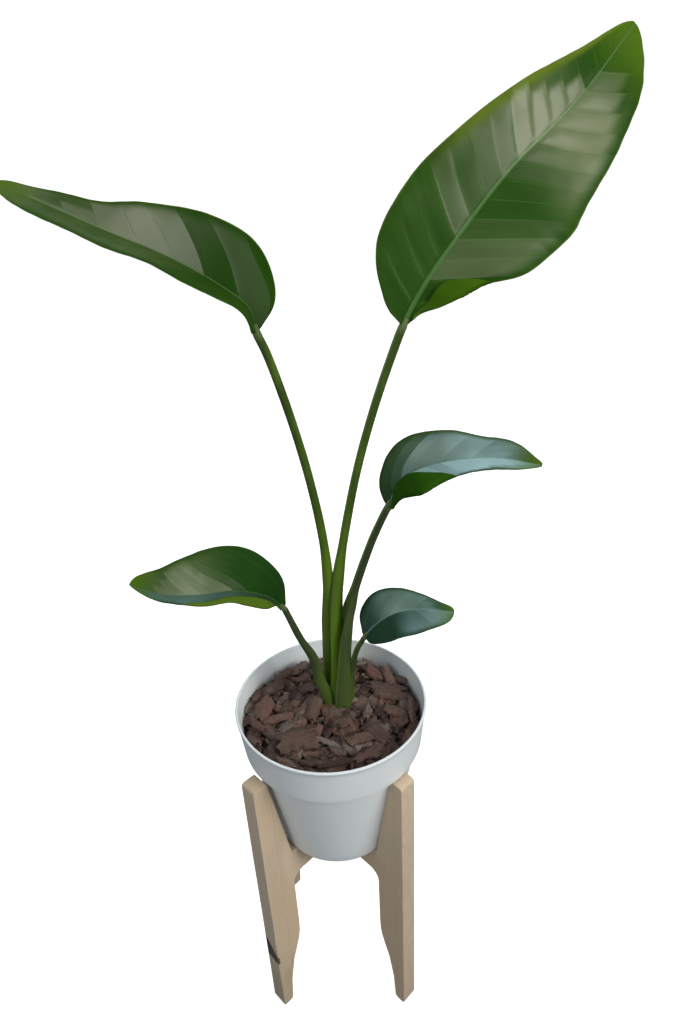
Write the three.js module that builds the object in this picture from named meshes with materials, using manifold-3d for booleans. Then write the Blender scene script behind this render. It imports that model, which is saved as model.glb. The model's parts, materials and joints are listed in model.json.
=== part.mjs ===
// A young bird of paradise in a pot on a wooden stand.
//
// Millimetres, +Z up. While it is built, the origin is the middle of the stand on the floor, +X is
// to the right and +Y is away from the front. At the end the whole group is moved sideways so that
// the origin lies under the middle of the plant's spread.
import * as THREE from 'three';
import { mergeVertices } from 'three/addons/utils/BufferGeometryUtils.js';
import Module from 'manifold-3d';

const wasm = await Module();
wasm.setup();

// ---------------------------------------------------------------- driving dimensions

const GAP = 0.3;                      // clearance between pieces that touch
const RIM_HEIGHT = 459;               // top of the pot above the floor
const POT_HEIGHT = 187.5;
const POT_CENTRE = [4.7, -5.9];       // the pot has slid towards the front right arm of the stand
const RIM_RADIUS = 110;
const BASE_RADIUS = 74;
const BAND_HEIGHT = 50;               // the upright collar round the rim
const BAND_FOOT_RADIUS = 104.6;       // outside of the collar at its lower edge
const BODY_TOP_RADIUS = 99.8;         // outside of the tapered body just under the collar
const WALL = 2.6;
const FLOOR_THICKNESS = 2.5;
const FOOT_RECESS = 2.5;              // the pot stands on a ring, its floor is lifted inside it
const FOOT_RING_WIDTH = 7;
const STEP_HEIGHT = 4;                // the inside narrows over this height behind the collar
const DRAIN_RADIUS = 5;
const DRAIN_CIRCLE = 46;
const DRAIN_SIDES = 16;
const ROUND_SIDES = 48;               // facets round the pot, its soil and its mulch
const ROUND_TURN = 2.3;               // degrees; no edge of a facet lies straight ahead or sideways

const BOARD_THICKNESS = 21.8;
const ARM_RADIUS = 124;               // outer edge of each leg, from the stand's middle
const ARM_WIDTH = 12.5;               // what is left of the arm at its top
const ARM_TOP = 408.5;
const NOTCH_RADIUS = 82;              // half width of the seat that the pot stands on
const LEG_WIDTH = 40;
const ARCH_HEIGHT = 232;              // underside of the cross piece above the floor
const ARCH_FILLET = 14;
const TAPER_START = 124;              // height at which the legs start to narrow
const FOOT_WIDTH = 8;
const FOOT_ROUND = 4;
const STAND_TURN = -1.7;              // degrees, off the exact diagonal

const SOIL_TOP = 415;
const MULCH_BED_TOP = 427;
const MULCH_CROWN = 4;                // the bark lies this much higher in the middle
const MULCH_LIMIT = RIM_HEIGHT - 5;   // no chip reaches above this height
const CHIP_COUNT = 72;
const CHIP_SEED = 11;

const BLADE_THICKNESS = 0.9;
const BLADE_ROWS = 20;
const RIB_HALF_WIDTH = 2.4;
const RIB_DEPTH_BASE = 5;             // the rib stands out below the midrib, less and less
const RIB_DEPTH_TIP = 0.8;
const BASE_HALF_WIDTH = 3;            // half width of a blade at its very ends
const TIP_HALF_WIDTH = 1.6;
const TUBE_SIDES = 12;
const TUBE_STEP = 26;                 // distance between the rings of a stalk
const SPINE_STEPS = 40;               // points that a spine has between two given ones
const CLASP_GAP = 0.35;               // between a sheath and the stalks that it clasps

const LOOKS = {
  white_plastic: { color: 0xdfe6ea, roughness: 0.45, metalness: 0 },
  pine: { color: 0xcbb497, roughness: 0.65, metalness: 0 },
  soil: { color: 0x2b1f19, roughness: 0.95, metalness: 0 },
  bark: { color: 0x6a4537, roughness: 0.9, metalness: 0 },
  leaf: { color: 0x2f5a1e, roughness: 0.3, metalness: 0 },
  stalk: { color: 0x3d5a1c, roughness: 0.45, metalness: 0 },
};

// Each shoot is one curve: the stalk's points come first and the blade's midrib follows.
// radii: the stalk's half width at each of its points; depth: its thickness over its width.
// Each half of the blade leaves the midrib at an angle about it, given at base, middle and tip:
// 0 is level and away from the front, 90 is up, 180 is level and towards the front.
// width: half width at seven stations, close together near base and tip. bend: curve across the
// half, in degrees. curl: how far its margin rolls over near the base, and where that fades out.
// The shoots are listed from the innermost outwards.
const SHOOTS = [
  {
    name: 'tall_right',
    stalk: [[13, 22, 385], [14, 22, 440], [18, 21, 540], [22, 20, 600], [30, 20, 655],
      [47, 22, 734], [66, 26, 797], [87, 32, 853]],
    radii: [6, 6, 5.4, 4.8, 4.5, 4.3, 4.2, 4.2],
    depth: 0.9,
    midrib: [[96, 34, 874], [117, 44, 908], [159, 65, 957], [201, 85, 1000], [262, 115, 1048],
      [327, 155, 1114]],
    high: { angle: [97, 92, 90], bend: 10, width: [30, 63, 68, 57, 46, 26, 12] },
    low: { angle: [255, 262, 266], bend: 8, width: [20, 50, 74, 83, 64, 46, 25],
      curl: 110, curlFrom: 0.15, curlTo: 0.35 },
    wave: { size: 2.2, count: 5 },
  },
  {
    name: 'tall_left',
    stalk: [[8, 20, 385], [8, 20, 437], [10, 19, 542], [12, 17, 603], [8, 13, 660], [-1, 6, 733],
      [-14, 0, 801], [-30, -6, 865]],
    radii: [11.5, 11, 10, 7.5, 4.7, 4.3, 4.1, 4],
    depth: 0.85,
    midrib: [[-37, -8, 885], [-41, -8, 906], [-63, -2, 924], [-104, 10, 947], [-162, 28, 971],
      [-256, 54, 1012]],
    high: { angle: [80, 75, 50], bend: 6, width: [12, 45, 47, 35, 20, 12, 7] },
    low: { angle: [182, 186, 190], bend: 0, width: [20, 34, 36, 34, 33, 28, 13] },
    wave: { size: 1.6, count: 5 },
  },
  {
    name: 'mid_right',
    stalk: [[20, 12, 385], [21, 12, 454], [25, 10, 532], [32, 8, 572], [41, 6, 608],
      [59, 0, 664], [72, -5, 697]],
    radii: [10.5, 10, 7.5, 6.6, 4.6, 4.2, 4],
    depth: 0.85,
    midrib: [[76, -7, 706], [83, -8, 725], [97, -12, 742], [127, -22, 757], [170, -40, 767],
      [209, -60, 766]],
    high: { angle: [68, 55, 35], bend: 0, width: [9, 22, 34, 30, 21, 17, 7] },
    low: { angle: [195, 190, 185], bend: 0, width: [14, 38, 42, 28, 21, 18, 7],
      curl: 80, curlFrom: 0.25, curlTo: 0.45 },
    wave: { size: 1.2, count: 4 },
  },
  {
    name: 'low_left',
    stalk: [[3, 10, 385], [2, 10, 446], [-6, 6, 475], [-11, 0, 513], [-24, -5, 547],
      [-35, -9, 583]],
    radii: [8.5, 8, 6.9, 5.5, 4.2, 3.6],
    depth: 0.8,
    midrib: [[-38, -10, 592], [-53, -16, 612], [-85, -28, 629], [-120, -44, 637],
      [-148, -60, 651], [-171, -75, 674]],
    high: { angle: [60, 50, 30], bend: 0, width: [9, 28, 44, 46, 36, 23, 11] },
    low: { angle: [180, 170, 165], bend: 0, width: [16, 30, 35, 30, 18, 14, 8],
      curl: 80, curlFrom: 0.4, curlTo: 0.6 },
    wave: { size: 1, count: 4 },
  },
  {
    name: 'low_right',
    stalk: [[31, 13, 385], [30, 12, 457], [32, 9, 479], [38, 4, 517], [43, 1, 532]],
    radii: [5.4, 5, 4.4, 3.2, 3],
    depth: 0.85,
    midrib: [[47, 0, 540], [58, -2, 556], [79, -5, 573], [107, -10, 581], [143, -17, 580]],
    high: { angle: [45, 42, 40], bend: 0, width: [9, 24, 31, 27, 17, 10, 6] },
    low: { angle: [205, 200, 195], bend: 0, width: [16, 27, 30, 31, 29, 22, 13] },
    wave: { size: 0.8, count: 3 },
  },
];

// ---------------------------------------------------------------- solids and small helpers

const degrees = THREE.MathUtils.degToRad;
const mix = THREE.MathUtils.lerp;
const POT_BOTTOM = RIM_HEIGHT - POT_HEIGHT;
const BAND_FOOT = RIM_HEIGHT - BAND_HEIGHT;

// A closed three.js geometry as a solid for cutting and joining.
function toSolid(geometry) {
  const bare = geometry.clone();
  bare.deleteAttribute('normal');
  bare.deleteAttribute('uv');
  const merged = mergeVertices(bare, 1e-4);
  return new wasm.Manifold(new wasm.Mesh({
    numProp: 3,
    vertProperties: Float32Array.from(merged.attributes.position.array),
    triVerts: Uint32Array.from(merged.index.array),
  }));
}

// A solid back as a three.js geometry.
function toGeometry(solid) {
  const mesh = solid.getMesh();
  const geometry = new THREE.BufferGeometry();
  geometry.setAttribute('position', new THREE.BufferAttribute(mesh.vertProperties, 3));
  geometry.setIndex(new THREE.BufferAttribute(mesh.triVerts, 1));
  geometry.computeVertexNormals();
  return geometry;
}

// The largest connected piece of a solid; small scraps that a cut leaves are dropped.
function largestPiece(solid) {
  const pieces = solid.decompose();
  return pieces.reduce((best, piece) => (piece.volume() > best.volume() ? piece : best));
}

function namedMesh(name, geometry, look) {
  const mesh = new THREE.Mesh(geometry, new THREE.MeshStandardMaterial(LOOKS[look]));
  mesh.name = name;
  return mesh;
}

// Random numbers between 0 and 1 that are the same on every run.
function seededRandom(seed) {
  let state = seed;
  return () => {
    state = (state * 1664525 + 1013904223) % 4294967296;
    return state / 4294967296;
  };
}

// A smooth curve through values at 0, 1/2 and 1.
function threeWay([start, middle, end], u) {
  return start * (1 - u) * (1 - 2 * u) + middle * 4 * u * (1 - u) + end * u * (2 * u - 1);
}

// A solid turned round the pot's axis from [radius, height] points, closed on the axis.
function turned(profile) {
  const points = profile.map(([radius, height]) => new THREE.Vector2(radius, height));
  const geometry = new THREE.LatheGeometry(points, ROUND_SIDES);
  geometry.rotateX(Math.PI / 2);
  geometry.rotateZ(degrees(ROUND_TURN));
  geometry.translate(POT_CENTRE[0], POT_CENTRE[1], 0);
  return toSolid(geometry);
}

// ---------------------------------------------------------------- pot, soil and bark

// Inside radius of the pot at a height, above and below the step behind the collar.
function insideRadius(height) {
  if (height >= BAND_FOOT) {
    const up = (height - BAND_FOOT) / BAND_HEIGHT;
    return mix(BAND_FOOT_RADIUS, RIM_RADIUS, up) - WALL;
  }
  const up = (height - POT_BOTTOM) / (BAND_FOOT - POT_BOTTOM);
  return mix(BASE_RADIUS, BODY_TOP_RADIUS, up) - WALL;
}

function makePot() {
  const insideFloor = POT_BOTTOM + FOOT_RECESS + FLOOR_THICKNESS;
  const shell = turned([
    [0, POT_BOTTOM + FOOT_RECESS],
    [BASE_RADIUS - FOOT_RING_WIDTH - 2, POT_BOTTOM + FOOT_RECESS],
    [BASE_RADIUS - FOOT_RING_WIDTH, POT_BOTTOM],
    [BASE_RADIUS - 1.5, POT_BOTTOM],
    [BASE_RADIUS, POT_BOTTOM + 1.5],
    [BODY_TOP_RADIUS, BAND_FOOT],
    [BAND_FOOT_RADIUS - 1, BAND_FOOT],
    [BAND_FOOT_RADIUS, BAND_FOOT + 1],
    [RIM_RADIUS - 0.6, RIM_HEIGHT - 4],
    [RIM_RADIUS, RIM_HEIGHT - 2.5],
    [RIM_RADIUS - 0.6, RIM_HEIGHT],
    [RIM_RADIUS - WALL + 0.4, RIM_HEIGHT],
    [RIM_RADIUS - WALL - 0.2, RIM_HEIGHT - 1.2],
    [insideRadius(BAND_FOOT), BAND_FOOT],
    [insideRadius(BAND_FOOT - STEP_HEIGHT), BAND_FOOT - STEP_HEIGHT],
    [insideRadius(insideFloor + 1.5), insideFloor + 1.5],
    [insideRadius(insideFloor) - 1.5, insideFloor],
    [0, insideFloor],
  ]);
  const holes = [0, 1, 2, 3].map((quarter) => {
    const depth = 4 * FLOOR_THICKNESS;
    const hole = new THREE.CylinderGeometry(DRAIN_RADIUS, DRAIN_RADIUS, depth, DRAIN_SIDES);
    hole.rotateX(Math.PI / 2);
    const angle = degrees(90 * quarter + STAND_TURN);
    hole.translate(
      POT_CENTRE[0] + DRAIN_CIRCLE * Math.cos(angle),
      POT_CENTRE[1] + DRAIN_CIRCLE * Math.sin(angle),
      insideFloor,
    );
    return toSolid(hole);
  });
  return holes.reduce((pot, hole) => pot.subtract(hole), shell);
}

function makeSoil() {
  const bottom = POT_BOTTOM + FOOT_RECESS + FLOOR_THICKNESS + GAP;
  return turned([
    [0, bottom],
    [insideRadius(bottom) - 2, bottom],
    [insideRadius(bottom + 2) - GAP, bottom + 2],
    [insideRadius(BAND_FOOT - STEP_HEIGHT) - GAP, BAND_FOOT - STEP_HEIGHT],
    [insideRadius(BAND_FOOT + 1) - 1, BAND_FOOT + 1],
    [insideRadius(SOIL_TOP) - 2 * GAP, SOIL_TOP],
    [0, SOIL_TOP],
  ]);
}

// A long flat splinter of bark, narrower at one end and thinner on one side.
function barkChip(random) {
  const length = mix(20, 46, random() ** 1.4);
  const width = mix(9, 21, random());
  const thickness = mix(4, 8, random());
  const narrowing = mix(0.45, 0.9, random());
  const chip = new THREE.BoxGeometry(length, width, thickness);
  const corners = chip.attributes.position;
  for (let i = 0; i < corners.count; i += 1) {
    if (corners.getX(i) > 0) corners.setY(i, corners.getY(i) * narrowing);
    if (corners.getY(i) > 0) corners.setZ(i, corners.getZ(i) * narrowing);
  }
  chip.rotateX(mix(-0.55, 0.55, random()));
  chip.rotateY(mix(-0.45, 0.45, random()));
  chip.rotateZ(Math.PI * 2 * random());
  return chip;
}

// Bark lies on the soil as one bed of chips, each sunk into the bed or into other chips.
function makeMulch() {
  const random = seededRandom(CHIP_SEED);
  const bedBottom = SOIL_TOP + GAP;
  const bedRadius = insideRadius(bedBottom) - 2 * GAP;
  const bed = turned([[0, bedBottom], [bedRadius, bedBottom], [bedRadius, MULCH_BED_TOP],
    [0, MULCH_BED_TOP]]);
  const golden = Math.PI * (3 - Math.sqrt(5));
  const chips = [];
  for (let i = 0; i < CHIP_COUNT; i += 1) {
    const chip = barkChip(random);
    const radius = bedRadius * Math.sqrt((i + 0.5) / CHIP_COUNT) * mix(0.92, 1, random());
    const angle = i * golden;
    const crown = MULCH_CROWN * (1 - radius / bedRadius);
    chip.translate(
      POT_CENTRE[0] + radius * Math.cos(angle),
      POT_CENTRE[1] + radius * Math.sin(angle),
      MULCH_BED_TOP + crown + mix(-1, 4, random()),
    );
    chips.push(toSolid(chip));
  }
  const room = turned([[0, bedBottom], [bedRadius, bedBottom],
    [insideRadius(MULCH_LIMIT) - 2 * GAP, MULCH_LIMIT], [0, MULCH_LIMIT]]);
  return wasm.Manifold.union([bed, ...chips]).intersect(room);
}

// ---------------------------------------------------------------- stand

// Outline of one board, seen flat: two legs, the arch between them and the notch for the pot.
function boardOutline(slotFromTop) {
  const seat = POT_BOTTOM - GAP;
  const inner = ARM_RADIUS - LEG_WIDTH;
  const slot = BOARD_THICKNESS / 2 + GAP;
  const slotEnd = (seat + ARCH_HEIGHT) / 2;
  const notchTop = ARM_RADIUS - ARM_WIDTH;
  const right = [
    [NOTCH_RADIUS, seat],
    [notchTop, ARM_TOP - 2],
    [notchTop + 2, ARM_TOP],
    [ARM_RADIUS - 4, ARM_TOP],
    [ARM_RADIUS - 1, ARM_TOP - 1],
    [ARM_RADIUS, ARM_TOP - 4],
    [ARM_RADIUS, FOOT_ROUND],
    [ARM_RADIUS - FOOT_ROUND * 0.3, FOOT_ROUND * 0.3],
    [ARM_RADIUS - FOOT_ROUND, 0],
    [ARM_RADIUS - FOOT_ROUND - FOOT_WIDTH, 0],
    [ARM_RADIUS - FOOT_ROUND - FOOT_WIDTH - 3, 4],
    [inner + 22, 40],
    [inner + 7.5, 97],
    [inner + 1.2, TAPER_START],
    [inner, TAPER_START + 14],
    [inner, ARCH_HEIGHT - ARCH_FILLET],
    [inner - ARCH_FILLET * 0.13, ARCH_HEIGHT - ARCH_FILLET * 0.5],
    [inner - ARCH_FILLET * 0.5, ARCH_HEIGHT - ARCH_FILLET * 0.13],
    [inner - ARCH_FILLET, ARCH_HEIGHT],
  ];
  const left = right.map(([radius, height]) => [-radius, height]).reverse();
  const upperSlot = [[-slot, seat], [-slot, slotEnd], [slot, slotEnd], [slot, seat]];
  const lowerSlot = [[slot, ARCH_HEIGHT], [slot, slotEnd + GAP], [-slot, slotEnd + GAP],
    [-slot, ARCH_HEIGHT]];
  const points = slotFromTop
    ? [...upperSlot, ...right, ...left]
    : [...right, ...lowerSlot, ...left];
  return new THREE.Shape(points.map(([radius, height]) => new THREE.Vector2(radius, height)));
}

// A board stands upright through the middle of the stand, turned about +Z.
function makeBoard(turn, slotFromTop) {
  const geometry = new THREE.ExtrudeGeometry(boardOutline(slotFromTop), {
    depth: BOARD_THICKNESS,
    bevelEnabled: false,
  });
  geometry.translate(0, 0, -BOARD_THICKNESS / 2);
  geometry.rotateX(Math.PI / 2);
  geometry.rotateZ(degrees(turn));
  return toSolid(geometry);
}

// ---------------------------------------------------------------- stalks and blades

// One shoot's curve, read by distance along it. It also gives the two directions square to it:
// back, level and away from the front, and up.
class Spine {
  constructor(shoot) {
    const points = [...shoot.stalk, ...shoot.midrib].map((p) => new THREE.Vector3(...p));
    const curve = new THREE.CatmullRomCurve3(points);
    this.samples = SPINE_STEPS * (points.length - 1);
    this.points = curve.getPoints(this.samples);
    this.distances = [0];
    for (let i = 1; i <= this.samples; i += 1) {
      const step = this.points[i].distanceTo(this.points[i - 1]);
      this.distances.push(this.distances[i - 1] + step);
    }
    this.stalkStations = shoot.stalk.map((_, i) => this.distances[SPINE_STEPS * i]);
    this.stalkLength = this.distances[SPINE_STEPS * shoot.stalk.length];
    this.length = this.distances[this.samples];
    // A shoot that leans left needs the other turning sense, so that up never points down.
    this.side = this.points[this.samples].x < this.points[0].x ? 1 : -1;
  }

  at(distance) {
    let i = this.distances.findIndex((d) => d >= distance);
    i = i < 0 ? this.samples : Math.max(i, 1);
    const [before, after] = [this.distances[i - 1], this.distances[i]];
    return this.points[i - 1].clone().lerp(this.points[i], (distance - before) / (after - before));
  }

  frame(distance, reach = 5) {
    const from = Math.max(distance - reach, 0);
    const to = Math.min(distance + reach, this.length);
    const along = this.at(to).sub(this.at(from)).normalize();
    const back = new THREE.Vector3(0, 1, 0).addScaledVector(along, -along.y).normalize();
    const up = new THREE.Vector3().crossVectors(back, along).multiplyScalar(this.side);
    return { centre: this.at(distance), back, up };
  }
}

// The same surface with its triangles turned inside out.
function flipped(geometry) {
  const copy = geometry.clone();
  const order = Array.from(copy.index.array);
  for (let i = 0; i < order.length; i += 3) {
    [order[i], order[i + 1]] = [order[i + 1], order[i]];
  }
  copy.setIndex(order);
  return copy;
}

// A closed skin over rings of points, all rings alike, with a flat end at each side.
function loft(rings) {
  const sides = rings[0].length;
  const positions = rings.flat().flatMap((p) => [p.x, p.y, p.z]);
  const index = [];
  const corner = (row, side) => row * sides + (side % sides);
  for (let row = 0; row + 1 < rings.length; row += 1) {
    for (let side = 0; side < sides; side += 1) {
      const [a, b] = [corner(row, side), corner(row, side + 1)];
      const [c, d] = [corner(row + 1, side), corner(row + 1, side + 1)];
      index.push(a, b, d, a, d, c);
    }
  }
  const last = rings.length - 1;
  for (let side = 0; side < sides / 2 - 1; side += 1) {
    // Ends are closed in strips between opposite sides of the ring.
    const far = sides - 1 - side;
    index.push(corner(0, side), corner(0, far), corner(0, far - 1));
    index.push(corner(0, side), corner(0, far - 1), corner(0, side + 1));
    index.push(corner(last, side), corner(last, far - 1), corner(last, far));
    index.push(corner(last, side), corner(last, side + 1), corner(last, far - 1));
  }
  const geometry = new THREE.BufferGeometry();
  geometry.setAttribute('position', new THREE.BufferAttribute(new Float32Array(positions), 3));
  geometry.setIndex(index);
  const solid = toSolid(geometry);
  return solid.volume() > 0 ? solid : toSolid(flipped(geometry));
}

// Half width of a stalk at a distance along it.
function stalkRadius(shoot, spine, distance) {
  const stations = spine.stalkStations;
  const next = stations.findIndex((station) => station > distance);
  if (next < 0) return shoot.radii[shoot.radii.length - 1];
  if (next === 0) return shoot.radii[0];
  const part = (distance - stations[next - 1]) / (stations[next] - stations[next - 1]);
  return mix(shoot.radii[next - 1], shoot.radii[next], THREE.MathUtils.smoothstep(part, 0, 1));
}

// The stalk as a tapering tube, oval in section. extra makes it thicker all round.
function makeStalk(shoot, extra = 0) {
  const spine = new Spine(shoot);
  const end = spine.stalkLength - GAP;
  const rows = Math.round(end / TUBE_STEP);
  const rings = [];
  for (let row = 0; row <= rows; row += 1) {
    const distance = (end * row) / rows;
    const { centre, back, up } = spine.frame(distance);
    const radius = stalkRadius(shoot, spine, distance);
    const ring = [];
    for (let side = 0; side < TUBE_SIDES; side += 1) {
      const angle = (Math.PI * 2 * side) / TUBE_SIDES;
      ring.push(centre.clone()
        .addScaledVector(up, (radius + extra) * Math.cos(angle))
        .addScaledVector(back, (radius * shoot.depth + extra) * Math.sin(angle)));
    }
    rings.push(ring);
  }
  return loft(rings);
}

// Half width of a blade, with a rounded base and tip. turn runs from 0 at the base to pi.
function halfWidth(widths, turn) {
  const all = [BASE_HALF_WIDTH, ...widths, TIP_HALF_WIDTH];
  const place = (turn / Math.PI) * (all.length - 1);
  const i = Math.min(Math.floor(place), all.length - 2);
  const before = all[Math.max(i - 1, 0)];
  const after = all[Math.min(i + 2, all.length - 1)];
  const curve = new THREE.SplineCurve([before, all[i], all[i + 1], after].map(
    (value, k) => new THREE.Vector2(k, value),
  ));
  return Math.max(curve.getPoint((1 + place - i) / 3).y, 1.2);
}

// Points across one half of the blade, from the midrib out, each with the direction that the
// upper face looks in there. sign is +1 for the high half and -1 for the low one.
function crossSection(half, sign, frame, u, width, wave) {
  const columns = [0, Math.min(RIB_HALF_WIDTH / width, 0.3), 0.4, 0.62, 0.82, 1];
  const steps = 50;
  const rolled = THREE.MathUtils.smoothstep(u, 0, 0.05)
    * (1 - THREE.MathUtils.smoothstep(u, half.curlFrom ?? 0, half.curlTo ?? 0.01));
  const headingAt = (v) => {
    const roll = (half.curl ?? 0) * rolled * THREE.MathUtils.smoothstep(v, 0.45, 1);
    return degrees(threeWay(half.angle, u) + sign * (half.bend * v + roll));
  };
  const direction = (angle) => frame.back.clone().multiplyScalar(Math.cos(angle))
    .addScaledVector(frame.up, Math.sin(angle));
  const path = [frame.centre.clone()];
  for (let step = 0; step < steps; step += 1) {
    const heading = direction(headingAt((step + 0.5) / steps));
    path.push(path[step].clone().addScaledVector(heading, width / steps));
  }
  return columns.map((v) => {
    const normal = direction(headingAt(v) + (sign * Math.PI) / 2);
    const ripple = wave.size * v * v * Math.sin(Math.PI * 2 * wave.count * u + sign)
      * Math.min(1, width / 20);
    const point = path[Math.round(v * steps)].clone().addScaledVector(normal, ripple);
    return { point, normal, v };
  });
}

// A leaf blade: a thin skin with two halves and a rib along the underside of its fold.
function makeBlade(shoot) {
  const spine = new Spine(shoot);
  const bladeLength = spine.length - spine.stalkLength;
  const rings = [];
  for (let row = 0; row <= BLADE_ROWS; row += 1) {
    const turn = (Math.PI * row) / BLADE_ROWS;
    const u = (1 - Math.cos(turn)) / 2;
    const frame = spine.frame(spine.stalkLength + u * bladeLength);
    const high = crossSection(shoot.high, 1, frame, u, halfWidth(shoot.high.width, turn),
      shoot.wave);
    const low = crossSection(shoot.low, -1, frame, u, halfWidth(shoot.low.width, turn),
      shoot.wave);
    const middle = { ...high[0], normal: high[0].normal.clone().add(low[0].normal).normalize() };
    const line = [...low.slice(1).reverse(), middle, ...high.slice(1)];
    const ribDepth = mix(RIB_DEPTH_BASE, RIB_DEPTH_TIP, u);
    const top = line.map(({ point, normal }) => (
      point.clone().addScaledVector(normal, BLADE_THICKNESS / 2)));
    const bottom = line.map(({ point, normal, v }) => {
      const depth = v === 0 ? ribDepth : BLADE_THICKNESS / 2;
      return point.clone().addScaledVector(normal, -depth);
    });
    rings.push([...top, ...bottom.reverse()]);
  }
  return loft(rings);
}

// ---------------------------------------------------------------- the whole plant

function build() {
  const plant = new THREE.Group();
  const fatStalks = SHOOTS.map((shoot) => makeStalk(shoot, CLASP_GAP));
  const allStalks = wasm.Manifold.union(fatStalks);

  plant.add(namedMesh('pot', toGeometry(makePot()), 'white_plastic'));
  const soil = largestPiece(makeSoil().subtract(allStalks));
  plant.add(namedMesh('potting_soil', toGeometry(soil), 'soil'));
  const mulch = largestPiece(makeMulch().subtract(allStalks));
  plant.add(namedMesh('bark_mulch', toGeometry(mulch), 'bark'));

  const boardTurn = 45 + STAND_TURN;
  plant.add(namedMesh('stand_board_lower', toGeometry(makeBoard(boardTurn, true)), 'pine'));
  plant.add(namedMesh('stand_board_upper', toGeometry(makeBoard(boardTurn + 90, false)), 'pine'));

  SHOOTS.forEach((shoot, i) => {
    // The sheath at the foot of each stalk clasps the stalks that stand inside it.
    const clasped = fatStalks.slice(0, i).reduce((solid, inner) => solid.subtract(inner),
      makeStalk(shoot));
    plant.add(namedMesh(`stalk_${shoot.name}`, toGeometry(largestPiece(clasped)), 'stalk'));
    plant.add(namedMesh(`blade_${shoot.name}`, toGeometry(makeBlade(shoot)), 'leaf'));
  });

  plant.updateMatrixWorld(true);
  const spread = new THREE.Box3().setFromObject(plant, true);
  const middle = spread.getCenter(new THREE.Vector3());
  plant.position.set(-middle.x, -middle.y, 0);
  plant.updateMatrixWorld(true);
  return plant;
}

const plant = build();

export default plant;
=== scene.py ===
"""A young bird of paradise in a white pot on a wooden stand, dressed for pictures.

Metres, +Z up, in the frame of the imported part. The shoots' curves below are in millimetres in the
frame that the part was drawn in, where the origin is the middle of the stand; SHIFT takes them to
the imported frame. Each operator makes one group of pieces, which take the place of their plain
solids, apart from the potting mix, which keeps its solid and only gets a look, and the stage.
"""

import json
import math

import bmesh
import bpy
import numpy as np
from bpy.props import FloatProperty, FloatVectorProperty, IntProperty, PointerProperty
from mathutils import Matrix, Vector

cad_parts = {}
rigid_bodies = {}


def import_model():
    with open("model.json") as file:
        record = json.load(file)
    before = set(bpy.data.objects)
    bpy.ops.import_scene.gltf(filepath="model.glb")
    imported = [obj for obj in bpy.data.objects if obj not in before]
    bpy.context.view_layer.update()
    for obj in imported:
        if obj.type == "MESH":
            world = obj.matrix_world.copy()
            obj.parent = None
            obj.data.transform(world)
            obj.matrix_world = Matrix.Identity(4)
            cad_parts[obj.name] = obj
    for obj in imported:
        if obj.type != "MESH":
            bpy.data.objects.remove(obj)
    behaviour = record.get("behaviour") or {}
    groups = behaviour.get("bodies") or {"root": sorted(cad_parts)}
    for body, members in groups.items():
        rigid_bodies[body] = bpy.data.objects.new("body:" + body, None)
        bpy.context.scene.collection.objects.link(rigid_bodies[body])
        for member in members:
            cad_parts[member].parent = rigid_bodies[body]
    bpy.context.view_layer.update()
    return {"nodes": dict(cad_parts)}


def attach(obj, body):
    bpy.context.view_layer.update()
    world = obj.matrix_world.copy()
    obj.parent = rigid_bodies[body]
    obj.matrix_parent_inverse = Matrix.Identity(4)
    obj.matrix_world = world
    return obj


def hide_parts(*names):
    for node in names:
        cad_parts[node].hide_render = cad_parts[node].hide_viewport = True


bl_info = {
    "name": "Potted Bird of Paradise",
    "version": (1, 0, 0),
    "blender": (4, 5, 0),
    "location": "3D View > Sidebar > Plant",
    "description": "Leaves, stalks, pot, bark mulch, wooden stand and a studio for them",
    "category": "Add Mesh",
}

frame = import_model()

MM = 0.001
SHIFT = np.array([-40.0528, -19.9169, 0.0])
POT_CENTRE = (np.array([4.7, -5.9, 0.0]) + SHIFT) * MM
STAND_CENTRE = SHIFT * MM
STAND_TURN = -1.7
# The pot, in millimetres: the heights of its foot, of its collar's foot and of its rim; the outside
# radius of its body and of its collar, each at its own foot, and how much they widen on the way up,
# the collar on its inside; the thickness of its wall.
POT_FOOT, BAND_FOOT, RIM = 271.5, 409.0, 459.0
BODY_RADIUS, BODY_FLARE = 74.0, 25.8
BAND_RADIUS, BAND_FLARE = 104.6, 5.4
WALL = 2.6
# Halfway through the pot's floor, where its holes are bored.
POT_FLOOR = POT_FOOT + 3.7

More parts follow.
